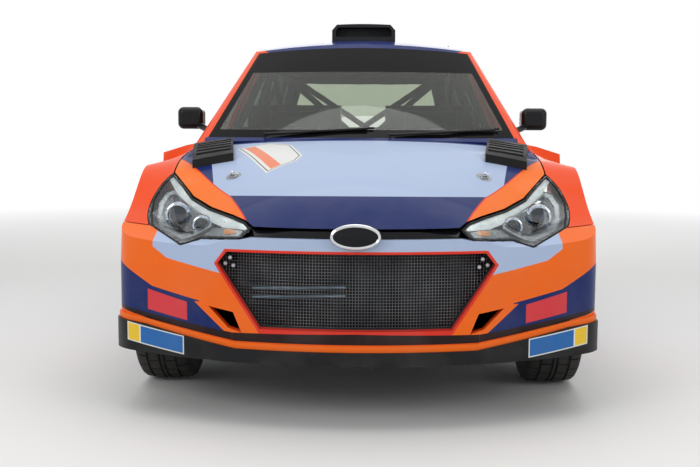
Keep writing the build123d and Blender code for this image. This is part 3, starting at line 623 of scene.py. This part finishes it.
def put_both(piece, name, material, slot, **finish):
    """Puts copies of a left-hand piece on both sides; the piece itself goes."""
    pair = [put_on(copy_piece(piece, f"{name}_{side}", mirror=sign < 0), material, slot, **finish)
            for side, sign in SIDES]
    bpy.data.objects.remove(piece)
    return pair


def join_pieces(pieces):
    deselect()
    for piece in pieces:
        piece.select_set(True)
    activate(pieces[0])
    bpy.ops.object.join()
    return pieces[0]


def surface_under(node, start, direction):
    """Where a ray first meets a node, and the normal there."""
    met, place, normal, _ = nodes[node].ray_cast(Vector(start), Vector(direction))
    if not met:
        raise ValueError(f"the ray from {start} misses {node}")
    return place, normal


def set_on(piece, place, normal):
    """Stands an upright piece on a surface."""
    piece.data.transform(Matrix.Translation(place) @ normal.to_track_quat("Z", "Y").to_matrix().to_4x4())


def tilted(place, degrees):
    """A turn about X, then the move to a place."""
    return Matrix.Translation(place) @ Matrix.Rotation(math.radians(degrees), 4, "X")


def cut_corners(x0, x1, z0, z1, cut):
    """A rectangle's outline with its corners cut off."""
    return ((x0 + cut, z0), (x1 - cut, z0), (x1, z0 + cut), (x1, z1 - cut), (x1 - cut, z1), (x0 + cut, z1),
            (x0, z1 - cut), (x0, z0 + cut))


def pick_faces(piece, test):
    """Selects the faces that pass a test of their centre and normal, and goes to edit mode."""
    activate(piece)
    go_to("EDIT")
    bpy.ops.mesh.select_mode(type="FACE")
    pick_all("DESELECT")
    go_to("OBJECT")
    for polygon in piece.data.polygons:
        polygon.select = test(polygon.center, polygon.normal)
    go_to("EDIT")


def each_wheel():
    """The end, side, sign and place of each wheel."""
    for end, axle_y in AXLES:
        for side, sign in SIDES:
            yield end, side, sign, Matrix.Translation((sign * WHEEL_X, axle_y, HUB_Z))


# Tyres: ribs round the tread, cut across by short slots in the shoulders and the inner ribs
TYRE_STEPS = 288
SLOT_EVERY = 9
SLOT_DEPTH = 0.006
SLOT_MIN_R = 0.306
SHOULDER = (0.062, 0.105)
INNER_RIB = (0.015, 0.052)


def model_tyre():
    outside = [(0.086, 0.232), (0.094, 0.240), (0.101, 0.2405), (0.106, 0.256), (0.1085, 0.272),
               (0.110, 0.2735), (0.110, 0.286), (0.1075, 0.3000), (0.101, 0.3120), (0.091, 0.3195),
               (0.062, 0.3232), (0.0605, 0.3160), (0.0535, 0.3160), (0.052, 0.3240), (0.014, 0.3250),
               (0.0125, 0.3175), (0.0055, 0.3175), (0.004, 0.3250)]
    inside = [(-0.086, 0.232), (-0.092, 0.262), (-0.094, 0.288), (-0.080, 0.304), (0.080, 0.304),
              (0.094, 0.288), (0.092, 0.262), (0.086, 0.232)]
    profile = outside + [(-x, r) for x, r in reversed(outside)] + inside[1:]
    piece = turn_profile("tread_start", [(x, r, 0) for x, r in profile], TYRE_STEPS, (1, 0, 0))

    def in_slot(centre, normal):
        at, radius = abs(centre.x), math.hypot(centre.y, centre.z)
        step = int(math.degrees(math.atan2(centre.z, centre.y)) % 360 / (360 / TYRE_STEPS)) % SLOT_EVERY
        low, high = {0: SHOULDER, 4: INNER_RIB}.get(step, (0, 0))
        return low < at < high and radius > SLOT_MIN_R and normal.dot(Vector((0, centre.y, centre.z))) > 0

    pick_faces(piece, in_slot)
    bpy.ops.mesh.extrude_region_shrink_fatten(TRANSFORM_OT_shrink_fatten={"value": -SLOT_DEPTH})
    go_to("OBJECT")
    return piece


tyre_start = model_tyre()
for end, side, sign, place in each_wheel():
    tyre = copy_piece(tyre_start, f"tyre_{end}_{side}", place)
    put_on(tyre, tread_rubber, "tyre", f"{end}_wheel_{side}", angle=30)
    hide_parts(f"{end}_tyre_{side}")
bpy.data.objects.remove(tyre_start)

# Wheel nuts and centre cap, modelled once for the left and mirrored
HUB_FACE_X = 0.071
NUT_CIRCLE_R = 0.056
NUTS = 5


def model_wheel_fittings():
    cap = turn_profile("cap_start", [(HUB_FACE_X, 0.0, 0), (0.078, 0.0, 0), (0.0775, 0.022, 0),
                                     (0.074, 0.030, 0), (HUB_FACE_X, 0.030, 0)], 40, (1, 0, 0))
    parts = [cap]
    for number in range(NUTS):
        turn = math.tau * number / NUTS
        place = (HUB_FACE_X, NUT_CIRCLE_R * math.cos(turn), NUT_CIRCLE_R * math.sin(turn))
        deselect()
        bpy.ops.mesh.primitive_cylinder_add(vertices=6, radius=0.0105, depth=0.020, location=place,
                                            rotation=(0, math.pi / 2, 0))
        nut = bpy.context.object
        bpy.ops.object.transform_apply()
        pick_faces(nut, lambda centre, normal: normal.x > 0.9)
        bpy.ops.mesh.inset(thickness=0.003)
        bpy.ops.transform.translate(value=(-0.006, 0, 0))
        go_to("OBJECT")
        parts.append(nut)
    return join_pieces(parts)


fittings_start = model_wheel_fittings()
for end, side, sign, place in each_wheel():
    fittings = copy_piece(fittings_start, f"wheel_nuts_{end}_{side}", place, mirror=sign < 0)
    put_on(fittings, steel, "steel", f"{end}_wheel_{side}", bevel=0.0008)
bpy.data.objects.remove(fittings_start)

# Grille mesh: a flat lattice trimmed to the opening, bent to the nose and made wire
MESH_X = 0.50
MESH_LOW, MESH_HIGH = 0.350, 0.632
MESH_ACROSS, MESH_UP = 92, 26
WIRE = 0.0026
MESH_SET_BACK = 0.050
# The two straight edges on each flank of the opening, each between two (x, z) points
MESH_FLANK = (((0.343, 0.350), (0.502, 0.582)), ((0.502, 0.582), (0.466, 0.632)))


def nose_y(x):
    """The nose's plan line at its middle height."""
    return NOSE_Y + NOSE_SWEEP * (x / HALF_WIDTH) ** 2


def model_grille():
    deselect()
    bpy.ops.mesh.primitive_grid_add(x_subdivisions=MESH_ACROSS, y_subdivisions=MESH_UP, size=1,
                                    location=(0, 0, 0))
    lattice = bpy.context.object
    lattice.name = "grille_lattice"
    lattice.scale = (2 * MESH_X, MESH_HIGH - MESH_LOW, 1)
    lattice.rotation_euler = (math.pi / 2, 0, 0)
    lattice.location = (0, 0, (MESH_LOW + MESH_HIGH) / 2)
    bpy.ops.object.transform_apply()
    go_to("EDIT")
    bpy.ops.mesh.select_mode(type="VERT")
    for sign in (1, -1):
        for near, far in MESH_FLANK:
            pick_all()
            run, rise = far[0] - near[0], far[1] - near[1]
            bpy.ops.mesh.bisect(plane_co=(sign * near[0], 0, near[1]), plane_no=(sign * rise, 0, -run),
                                clear_outer=True)
    go_to("OBJECT")
    for vertex in lattice.data.vertices:
        vertex.co.y = nose_y(vertex.co.x) + MESH_SET_BACK
    apply_modifier(lattice, "WIREFRAME", thickness=WIRE, use_even_offset=False)
    return lattice


grille = put_on(model_grille(), mesh_paint, "satin_black", angle=60)
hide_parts("grille_mesh")

# Rim that holds the lattice, and its fixings in the upper corners
GRILLE_LINE = [(-0.340, 0.355), (0.340, 0.355), (0.495, 0.582), (0.461, 0.625), (-0.461, 0.625),
               (-0.495, 0.582)]
LINE_PARTS = 10


def on_nose(line, set_back):
    """A closed (x, z) outline divided into short runs and laid on the curved nose."""
    points = []
    for (x0, z0), (x1, z1) in zip(line, line[1:] + line[:1]):
        for part in range(LINE_PARTS):
            x = x0 + (x1 - x0) * part / LINE_PARTS
            points.append((x, nose_y(x) + set_back, z0 + (z1 - z0) * part / LINE_PARTS))
    return points


grille_rim = draw_bead("grille_rim", on_nose(GRILLE_LINE, 0.046), 0.006, closed=True)
put_on(grille_rim, satin_plastic, "satin_black")
for side, sign in SIDES:
    for number, (x, z) in enumerate([(0.452, 0.600), (0.470, 0.578), (0.440, 0.572)]):
        x, y = sign * x, nose_y(x) + MESH_SET_BACK - 0.002
        stud = turn_profile(f"grille_stud_{side}_{number}", [
            (x, y - 0.008, z), (x + 0.007, y - 0.008, z), (x + 0.009, y - 0.004, z),
            (x + 0.009, y + 0.004, z)], 6, (0, 1, 0), (x, y, z))
        put_on(stud, aluminium, "aluminium", angle=20)

# Two cooler pipes across the right half of the radiator
radiator_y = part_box("radiator")[0][1]
for number, z in enumerate((0.490, 0.458)):
    pipe = draw_bead(f"cooler_pipe_{number}", [
        (-0.385, radiator_y + 0.010, z), (-0.370, radiator_y - 0.012, z),
        (-0.040, radiator_y - 0.012, z + 0.004), (-0.025, radiator_y + 0.010, z + 0.004)], 0.006)
    put_on(pipe, pipe_alloy, "aluminium")

# Oval badge: a bright ring round a plain dark shield
BADGE_Z = 0.688
BADGE_A, BADGE_B = 0.089, 0.045


def oval(a, b, y, count=48):
    return [(a * math.cos(math.tau * k / count), y, BADGE_Z + b * math.sin(math.tau * k / count))
            for k in range(count)]


badge_ring = draw_bead("badge_ring", oval(BADGE_A - 0.006, BADGE_B - 0.006, -2.0035), 0.006, closed=True)
put_on(badge_ring, chrome, "steel")
shield_line = oval(BADGE_A - 0.010, BADGE_B - 0.010, -1.996, 40)
put_on(make_plate("badge_shield", shield_line, (0, -0.008, 0)), gloss_plastic, "gloss_black", bevel=0.003)

# Bonnet pins in their plates
PIN_X, PIN_Y = 0.494, -1.477
for side, sign in SIDES:
    place, normal = surface_under("bonnet", (sign * PIN_X, PIN_Y, 2.0), (0, 0, -1))
    for name, profile, material in (
        ("pin_plate", [(0.0, 0.0015), (0.030, 0.0015), (0.031, 0.0), (0.031, -0.003)], steel),
        ("pin_stud", [(0.0, 0.022), (0.005, 0.021), (0.006, 0.018), (0.006, -0.003)], chrome),
        ("pin_ring", [(0.010, 0.0015), (0.012, 0.007), (0.016, 0.007), (0.018, 0.0015)], steel),
    ):
        piece = turn_upright(f"bonnet_{name}_{side}", profile, 24)
        set_on(piece, place, normal)
        put_on(piece, material, "steel", "bonnet")
    clip = draw_bead(f"bonnet_pin_clip_{side}", [(-0.026, -0.004, 0.012), (0.020, -0.004, 0.012),
                                                 (0.027, 0.002, 0.012), (0.020, 0.007, 0.012),
                                                 (-0.010, 0.006, 0.012)], 0.0016)
    set_on(clip, place, normal)
    put_on(clip, chrome, "steel", "bonnet")

# Headlamps: a pale brow, a ring round the lens unit and its lens, laid on the curve of the clear cover.
# Outlines of the left lamp from the front, as (x, z)
BROW_UPPER = [(0.755, 0.858), (0.700, 0.822), (0.648, 0.785), (0.604, 0.768), (0.560, 0.754),
              (0.508, 0.744), (0.457, 0.735), (0.405, 0.721), (0.384, 0.708)]
BROW_EDGE = [(0.772, 0.850), (0.722, 0.800), (0.667, 0.768), (0.618, 0.748), (0.570, 0.732),
             (0.530, 0.712), (0.482, 0.700), (0.425, 0.699), (0.396, 0.698)]
RING_OUTER = [(0.738, 0.812), (0.770, 0.800), (0.789, 0.762), (0.778, 0.712), (0.745, 0.681),
              (0.690, 0.665), (0.640, 0.652), (0.590, 0.668), (0.532, 0.700), (0.536, 0.724),
              (0.588, 0.745), (0.660, 0.776)]
RING_INNER = [(0.732, 0.796), (0.752, 0.790), (0.768, 0.758), (0.760, 0.722), (0.734, 0.697),
              (0.688, 0.683), (0.642, 0.672), (0.600, 0.685), (0.556, 0.708), (0.556, 0.720),
              (0.600, 0.733), (0.666, 0.762)]
SIGNAL_OUTLINE = [(0.428, 0.684), (0.476, 0.680), (0.480, 0.696), (0.434, 0.698)]
LAMP_FLOOR_OUTER = [(0.404, 0.694), (0.470, 0.700), (0.528, 0.696)]
LAMP_FLOOR_INNER = [(0.418, 0.677), (0.490, 0.672), (0.556, 0.670)]
BROW_DEPTH, RING_DEPTH, LENS_DEPTH, SIGNAL_DEPTH = 0.010, 0.013, 0.026, 0.020
# A plane for the points just off the cover: its y at the inner end, that end's x, and its sweep
COVER_Y, COVER_X, COVER_SWEEP = -1.92, 0.42, 0.9


def on_cover(outline, depth):
    """An (x, z) outline laid on the left lamp's clear cover and set back by the depth."""
    points = []
    for x, z in outline:
        met, place, _, _ = nodes["headlamp_covers"].ray_cast(Vector((x, -2.5, z)), Vector((0, 1, 0)))
        y = place.y if met else COVER_Y + COVER_SWEEP * max(x - COVER_X, 0)
        points.append((x, y + depth, z))
    return points


def make_band(name, first, second, thickness, closed=False):
    """A strip bridged between two lines of as many points, with a wall."""
    lines = []
    for number, points in enumerate((first, second)):
        line = draw_line(f"{name}_line_{number}", points)
        if closed:
            close_line(line)
        go_to("OBJECT")
        lines.append(line)
    piece = join_pieces(lines)
    piece.name = name
    go_to("EDIT")
    bpy.ops.mesh.select_mode(type="EDGE")
    pick_all()
    bpy.ops.mesh.bridge_edge_loops()
    face_outwards()
    apply_modifier(piece, "SOLIDIFY", thickness=thickness, offset=0)
    return piece


lamp_pieces = [
    (make_band("lamp_brow", on_cover(BROW_UPPER, BROW_DEPTH), on_cover(BROW_EDGE, BROW_DEPTH + 0.002),
               0.003), silver_bezel, "lamp_body"),
    (make_band("lamp_ring", on_cover(RING_OUTER, RING_DEPTH), on_cover(RING_INNER, RING_DEPTH + 0.008),
               0.003, closed=True), ring_chrome, "lamp_body"),
    (make_band("lamp_floor", on_cover(LAMP_FLOOR_OUTER, RING_DEPTH), on_cover(LAMP_FLOOR_INNER, RING_DEPTH),
               0.002), ring_chrome, "lamp_body"),
    (make_plate("lamp_lens", on_cover(RING_INNER, LENS_DEPTH), (0, -0.004, 0)), lens_glass, "glass"),
    (make_plate("lamp_signal", on_cover(SIGNAL_OUTLINE, SIGNAL_DEPTH), (0, -0.010, 0)), amber_lens,
     "red_lens"),
]
for x, y, z, radius in ((0.690, -1.612, 0.728, 0.046), (0.575, -1.742, 0.702, 0.034)):
    collar = turn_profile("lamp_collar", [(x + radius * out, y + back, z) for out, back in (
        (0.80, 0.0), (0.84, -0.012), (1.02, -0.010), (1.12, 0.010))], 40, (0, 1, 0), (x, y, z))
    apply_modifier(collar, "SOLIDIFY", thickness=0.002, offset=0)
    lamp_pieces.append((collar, reflector_metal, "lamp_body"))
for number, (piece, material, slot) in enumerate(lamp_pieces):
    put_both(piece, f"{piece.name.split('.')[0]}_{number}", material, slot, bevel=0.0006)

# Rubber gasket round each lamp, in the gap to the panels
LAMP_SEAL = [(0.412, 0.672), (0.490, 0.668), (0.566, 0.663), (0.602, 0.650), (0.638, 0.641), (0.714, 0.666),
             (0.784, 0.692), (0.806, 0.730), (0.816, 0.776), (0.796, 0.826), (0.762, 0.868), (0.704, 0.830),
             (0.648, 0.786), (0.604, 0.770), (0.559, 0.755), (0.508, 0.746), (0.458, 0.736), (0.402, 0.721),
             (0.378, 0.703)]
seal = draw_bead("lamp_seal", on_cover(LAMP_SEAL, 0.001), 0.004, closed=True)
put_both(seal, "lamp_seal", rubber, "satin_black")

# Wiper blades, laid between the arms and the glass
for number, points in enumerate([
    [(-0.420, -0.993, 1.040), (-0.200, -1.001, 1.050), (0.030, -0.990, 1.064), (0.060, -0.987, 1.066)],
    [(0.150, -1.036, 1.037), (0.370, -0.976, 1.050), (0.600, -0.874, 1.063), (0.625, -0.862, 1.065)],
]):
    put_on(draw_bead(f"wiper_blade_{number}", points, 0.0045), rubber, "satin_black")

# Mirror glass, and the doors' handles and locks. A handle's line is (y along it, lift off the door)
HANDLE_LINE = ((0.0, -0.006), (0.012, 0.016), (0.050, 0.022), (0.100, 0.022), (0.128, 0.016),
               (0.140, -0.006))
HANDLE_Z = 0.925
LOCK_STEP = 0.165
for side, sign in SIDES:
    glass = make_plate(f"mirror_glass_{side}", [
        (sign * x, -0.5005, z) for x, z in cut_corners(0.779, 0.865, 1.076, 1.146, 0.005)], (0, 0.0022, 0))
    put_on(glass, mirror_glass, "glass", f"front_door_{side}", bevel=0.0008)
    for end, y in (("front", -0.030), ("rear", 0.965)):
        body = f"{end}_door_{side}"
        points = []
        for step, lift in HANDLE_LINE:
            place, normal = surface_under(body, (sign * 1.3, y + step, HANDLE_Z), (-sign, 0, 0))
            points.append(tuple(place + normal * lift))
        handle = draw_bead(f"door_handle_{end}_{side}", points, 0.0085, sides=12)
        put_on(handle, gloss_plastic, "gloss_black", body)
        lock = turn_upright(f"door_lock_{end}_{side}", [
            (0.0, 0.0025), (0.009, 0.0025), (0.0105, 0.001), (0.0105, -0.003)], 24)
        set_on(lock, *surface_under(body, (sign * 1.3, y + LOCK_STEP, HANDLE_Z), (-sign, 0, 0)))
        put_on(lock, steel, "steel", body)

# Fuel filler on the right rear quarter, and the aerial
filler = turn_upright("fuel_filler", [
    (0.0, 0.010), (0.020, 0.010), (0.024, 0.004), (0.050, 0.004), (0.055, 0.001), (0.055, -0.004)], 48)
set_on(filler, *surface_under("side_frames", (-1.3, 1.56, 0.955), (1, 0, 0)))
put_on(filler, aluminium, "aluminium", bevel=0.0008)
place, normal = surface_under("roof_panel", (0.16, 0.92, 2.0), (0, 0, -1))
foot = turn_upright("aerial_foot", [
    (0.0, 0.018), (0.006, 0.017), (0.016, 0.006), (0.020, 0.0), (0.020, -0.003)], 32)
foot.data.transform(Matrix.Translation(place))
put_on(foot, rubber, "satin_black")
whip = draw_bead("aerial_whip", [tuple(place + Vector((0, back, up))) for back, up in (
    (0.004, 0.012), (0.030, 0.045), (0.055, 0.075))], 0.0022)
put_on(whip, steel, "steel")

# Rear end: blank plate, reflectors, underbody fins and the rolled tip of the exhaust
place, normal = surface_under("rear_bumper", (0, 2.6, 0.620), (0, -1, 0))
PLATE_LEAN = 0.25
plate_line = cut_corners(-0.262, 0.262, 0.566, 0.678, 0.004)
plate = make_plate("rear_plate_blank", [
    (x, place.y - PLATE_LEAN * (z - place.z) - 0.012, z) for x, z in plate_line], (0, 0.016, 0))
plate_enamel = moulded_plastic("pressed_aluminium_white", ("#DEDFDC", "#D2D3D0"), 0.4, bump=0.02)
put_on(plate, plate_enamel, "aluminium", bevel=0.0015)
for side, sign in SIDES:
    place, normal = surface_under("rear_bumper", (sign * 0.60, 2.6, 0.470), (0, -1, 0))
    reflector = make_plate(f"rear_reflector_{side}", [(sign * x, place.y - 0.006, z) for x, z in (
        (0.545, 0.455), (0.655, 0.455), (0.660, 0.470), (0.655, 0.485), (0.545, 0.485), (0.540, 0.470))],
        (0, 0.012, 0))
    put_on(reflector, red_lens, "red_lens", bevel=0.002)
FIN_XS = (-0.50, -0.36, 0.06, 0.24, 0.42, 0.58)
for number, x in enumerate(FIN_XS):
    fin = make_plate(f"diffuser_fin_{number}", [(x, y, z) for y, z in (
        (1.700, 0.432), (1.740, 0.300), (1.900, 0.322), (1.930, 0.350), (1.930, 0.432))], (0.006, 0, 0))
    put_on(fin, satin_plastic, "satin_black", bevel=0.001)
PIPE_X, PIPE_Z = -0.2, 0.35
tip = turn_profile("exhaust_tip", [(PIPE_X + r, y, PIPE_Z) for r, y in (
    (0.0352, 1.950), (0.0355, 1.992), (0.039, 1.997), (0.045, 1.997), (0.048, 1.992), (0.0455, 1.985),
    (0.0432, 1.950))], 48, (0, 1, 0), (PIPE_X, 1.97, PIPE_Z))
put_on(tip, burnt_steel, "steel", angle=50)

# Cabin: pads on the two shells, harnesses, wheel grip, instruments and levers
SEAT_X = 0.370
SEAT_Y = -0.365
PAD_CUTS = 2
PAD_STEPS = 20
PAD_SWELL = 0.014


def make_pad(name, size):
    """A crowned pad: a bevelled block blown up by cloth simulation, its movement limited."""
    deselect()
    bpy.ops.mesh.primitive_cube_add(size=1, location=(0, 0, 0))
    pad = bpy.context.object
    pad.name = name
    pad.scale = size
    bpy.ops.object.transform_apply()
    apply_modifier(pad, "BEVEL", width=min(size) * 0.32, segments=3)
    go_to("EDIT")
    pick_all()
    bpy.ops.mesh.subdivide(number_cuts=PAD_CUTS)
    go_to("OBJECT")
    apply_modifier(pad, "REMESH", mode="VOXEL", voxel_size=0.010)
    start = [vertex.co.copy() for vertex in pad.data.vertices]
    activate(pad)
    cloth = pad.modifiers.new("cloth", "CLOTH")
    cloth.settings.use_pressure = True
    cloth.settings.uniform_pressure_force = 4
    cloth.settings.effector_weights.gravity = 0
    for number in range(1, PAD_STEPS + 1):
        bpy.context.scene.frame_set(number)
    bpy.ops.object.modifier_apply(modifier=cloth.name)
    for vertex, before in zip(pad.data.vertices, start):
        moved = vertex.co - before
        if moved.length > PAD_SWELL:
            vertex.co = before + moved.normalized() * PAD_SWELL
    bpy.context.scene.frame_set(1)
    # Sewn channels across the pad
    for vertex in pad.data.vertices:
        if vertex.co.z > 0:
            groove = math.exp(-((vertex.co.y / size[1] * 5 + 0.5) % 1 - 0.5) ** 2 / 0.006)
            vertex.co.z -= 0.006 * groove * (1 if abs(vertex.co.x) < size[0] * 0.42 else 0.3)
    apply_modifier(pad, "SUBSURF", levels=1, render_levels=1)
    return pad


for name, size, y, z, tilt in (
    ("seat_cushion", (0.330, 0.400, 0.050), 0.075, 0.463, -4.6),
    ("seat_back_pad", (0.320, 0.560, 0.045), 0.355, 0.790, 82),
    ("seat_head_pad", (0.280, 0.130, 0.040), 0.398, 1.105, 82),
):
    pad = make_pad(name, size)
    pad.data.transform(tilted((SEAT_X, SEAT_Y + y, z), tilt))
    for made in put_both(pad, name, seat_fabric, "seat_shell", angle=180):
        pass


def make_strap(name, points, width, across=(1, 0, 0)):
    """A flat webbing strap drawn along its middle and widened to both edges."""
    strap = draw_line(name, [tuple(Vector(p) - Vector(across) * width / 2) for p in points])
    extrude(tuple(Vector(across) * width))
    face_outwards()
    apply_modifier(strap, "SUBSURF", levels=2, render_levels=2)
    apply_modifier(strap, "SOLIDIFY", thickness=0.003, offset=0)
    return strap


for side, sign in SIDES:
    centre = sign * SEAT_X
    for number, shift in enumerate((-0.075, 0.075)):
        shoulder = make_strap(f"harness_shoulder_{side}_{number}", [
            (centre + shift * inset, SEAT_Y + y, z) for inset, y, z in (
                (1, 0.470, 1.000), (1, 0.344, 1.015), (1, 0.334, 0.960), (0.8, 0.308, 0.780),
                (0.4, 0.276, 0.600))], 0.050)
        put_on(shoulder, webbing, "seat_shell", angle=60)
    for number, shift in enumerate((-1, 1)):
        lap = make_strap(f"harness_lap_{side}_{number}", [
            (centre + shift * x, SEAT_Y + y, z) for x, y, z in (
                (0.200, 0.190, 0.525), (0.110, 0.225, 0.552), (0.020, 0.262, 0.585))],
            0.046, (0, 0.5, 0.866))
        put_on(lap, webbing, "seat_shell", angle=60)
    buckle = turn_upright(f"harness_buckle_{side}", [
        (0.0, 0.012), (0.018, 0.012), (0.026, 0.008), (0.028, -0.004), (0.0, -0.004)], 32)
    buckle.data.transform(tilted((centre, SEAT_Y + 0.258, 0.594), 65))
    put_on(buckle, chrome, "steel")

# Suede round the wheel's rim, and the quick release on its hub
WHEEL_PLACE = tilted((0.370, -0.440, 0.890), 24 - 90)
GRIP_R, GRIP_SECTION = 0.172, 0.0168
grip = turn_upright("wheel_grip", [
    (GRIP_R + GRIP_SECTION * math.cos(math.tau * k / 12), GRIP_SECTION * math.sin(math.tau * k / 12))
    for k in range(13)], 64)
grip.data.transform(WHEEL_PLACE)
put_on(grip, suede, "satin_black", angle=60)
hub = turn_upright("wheel_hub_pad", [(0.0, 0.030), (0.030, 0.030), (0.036, 0.026), (0.040, 0.021)], 40)
hub.data.transform(WHEEL_PLACE)
put_on(hub, aluminium, "aluminium")

# Instrument pods with dark screens, switch panel and its rocker switches
DISPLAYS = (("driver_display", 0.370, 0.075, 0.965), ("navigator_display", -0.330, 0.055, 0.950))
SCREEN_SHARE = 0.84
for name, x, half, z in DISPLAYS:
    pod = make_slab(f"{name}_pod", x - half, x + half, (-0.660, z + 0.052), (-0.668, z - 0.030), -0.045)
    put_on(pod, satin_plastic, "satin_black", bevel=0.006)
    half *= SCREEN_SHARE
    screen = make_slab(f"{name}_screen", x - half, x + half, (-0.659, z + 0.042), (-0.665, z - 0.020),
                       0.0015)
    put_on(screen, gloss_plastic, "gloss_black", bevel=0.0006)
panel = make_slab("switch_panel", -0.110, 0.130, (-0.592, 0.800), (-0.608, 0.925), 0.006)
put_on(panel, gel_coat, "satin_black", bevel=0.002)
PANEL_LEAN = 0.128
for row in range(3):
    for column in range(5):
        x, z = -0.080 + column * 0.045, 0.825 + row * 0.036
        y = -0.586 - (z - 0.800) * PANEL_LEAN
        rocker = make_slab(f"rocker_{row}_{column}", x, x + 0.020, (y, z), (y - 0.002, z + 0.016), 0.005)
        put_on(rocker, webbing if (row, column) == (2, 0) else grey_trim, "satin_black", bevel=0.001)

# Gear lever and handbrake lever on the tunnel
for name, points, knob in (
    ("gear_lever", [(0.060, -0.430, 0.410), (0.090, -0.440, 0.640), (0.130, -0.450, 0.850)], 0.018),
    ("handbrake", [(-0.020, -0.380, 0.410), (0.010, -0.400, 0.600), (0.050, -0.420, 0.780)], 0.014),
):
    put_on(draw_bead(name, points, 0.009), aluminium, "aluminium")
    x, y, z = points[-1]
    ball = turn_profile(f"{name}_knob", [(x + knob * out, y, z + knob * up) for out, up in (
        (0, 2), (0.7, 1.7), (1, 1), (0.8, -1), (0.6, -1.6))], 24, centre=(x, y, z))
    put_on(ball, suede, "satin_black", angle=60)


# Stage, camera and lights
STAGE_COLOUR = "#F3F3F2"
STAGE_R = 60
WORLD_STRENGTH = 0.42


def seen_straight(tree):
    """A mask of what the camera sees, straight, mirrored or through glass."""
    rays = add_node(tree, "LightPath")
    seen = add_node(tree, "Math", {0: rays["Is Camera Ray"], 1: rays["Is Glossy Ray"]},
                    operation="MAXIMUM")[0]
    return add_node(tree, "Math", {0: seen, 1: rays["Is Transmission Ray"]}, operation="MAXIMUM")[0]


def model_stage():
    """A wide pale floor; far from the car it brightens to the white behind."""
    deselect()
    bpy.ops.mesh.primitive_circle_add(vertices=96, radius=STAGE_R, fill_type="NGON", location=(0, 0, 0))
    floor = bpy.context.object
    floor.name = "studio_floor"
    material, tree, shader, place = start_material("matt_white_floor", STAGE_COLOUR, 0.9)
    distance = add_node(tree, "VectorMath", {0: place}, operation="LENGTH")["Value"]
    far = add_node(tree, "MapRange", {"Value": distance, "From Min": 3.0, "From Max": 9.0})
    white = add_node(tree, "Emission", {"Color": (1, 1, 1, 1), "Strength": 1.0})
    fade = add_node(tree, "Math", {0: far["Result"], 1: seen_straight(tree)},
                    operation="MULTIPLY")[0]
    mix = add_node(tree, "MixShader", {0: fade, 1: shader.outputs[0], 2: white[0]})
    tree.links.new(mix[0], tree.nodes["Material Output"].inputs["Surface"])
    floor.data.materials.append(material)


def light_world():
    world = bpy.data.worlds.new("studio")
    bpy.context.scene.world = world
    world.use_nodes = True
    tree = world.node_tree
    soft = tree.nodes["Background"]
    soft.inputs["Color"].default_value = (1, 1, 1, 1)
    soft.inputs["Strength"].default_value = WORLD_STRENGTH
    white = add_node(tree, "Background", {"Color": (1, 1, 1, 1), "Strength": 1.0})
    mix = add_node(tree, "MixShader", {0: seen_straight(tree), 1: soft.outputs[0], 2: white[0]})
    tree.links.new(mix[0], tree.nodes["World Output"].inputs["Surface"])


def add_softbox(name, place, target, size, power):
    lamp = bpy.data.lights.new(name, "AREA")
    lamp.shape = "RECTANGLE"
    lamp.size, lamp.size_y = size
    lamp.energy = power
    holder = bpy.data.objects.new(name, lamp)
    bpy.context.scene.collection.objects.link(holder)
    holder.location = place
    holder.rotation_euler = (Vector(target) - Vector(place)).to_track_quat("-Z", "Y").to_euler()


LENS = 52.35
CAMERA_PLACE = (0.065, -5.4975, 1.056)
CAMERA_PITCH = math.radians(5.8)
CAMERA_YAW = math.radians(1.38)
CAMERA_ROLL = math.radians(0.25)


def set_camera():
    camera = bpy.data.objects.new("camera", bpy.data.cameras.new("camera"))
    bpy.context.scene.collection.objects.link(camera)
    camera.data.lens = LENS
    camera.data.sensor_width = 36
    camera.location = CAMERA_PLACE
    turn = Matrix.Rotation(CAMERA_YAW, 4, "Z") @ Matrix.Rotation(math.pi / 2 - CAMERA_PITCH, 4, "X")
    camera.rotation_euler = (turn @ Matrix.Rotation(CAMERA_ROLL, 4, "Z")).to_euler()
    bpy.context.scene.camera = camera


model_stage()
light_world()
add_softbox("roof_softbox", (0, -0.8, 4.6), (0, -0.4, 0), (6.0, 5.0), 120)
add_softbox("front_left_softbox", (-3.6, -5.2, 2.8), (0, -1.2, 0.6), (2.6, 1.8), 62)
add_softbox("front_right_softbox", (4.0, -4.6, 2.4), (0, -1.2, 0.6), (2.4, 1.6), 42)
add_softbox("rear_softbox", (0.5, 6.0, 3.0), (0, 0.5, 0.8), (4.0, 2.0), 60)
set_camera()
bpy.context.scene.view_settings.view_transform = "Standard"
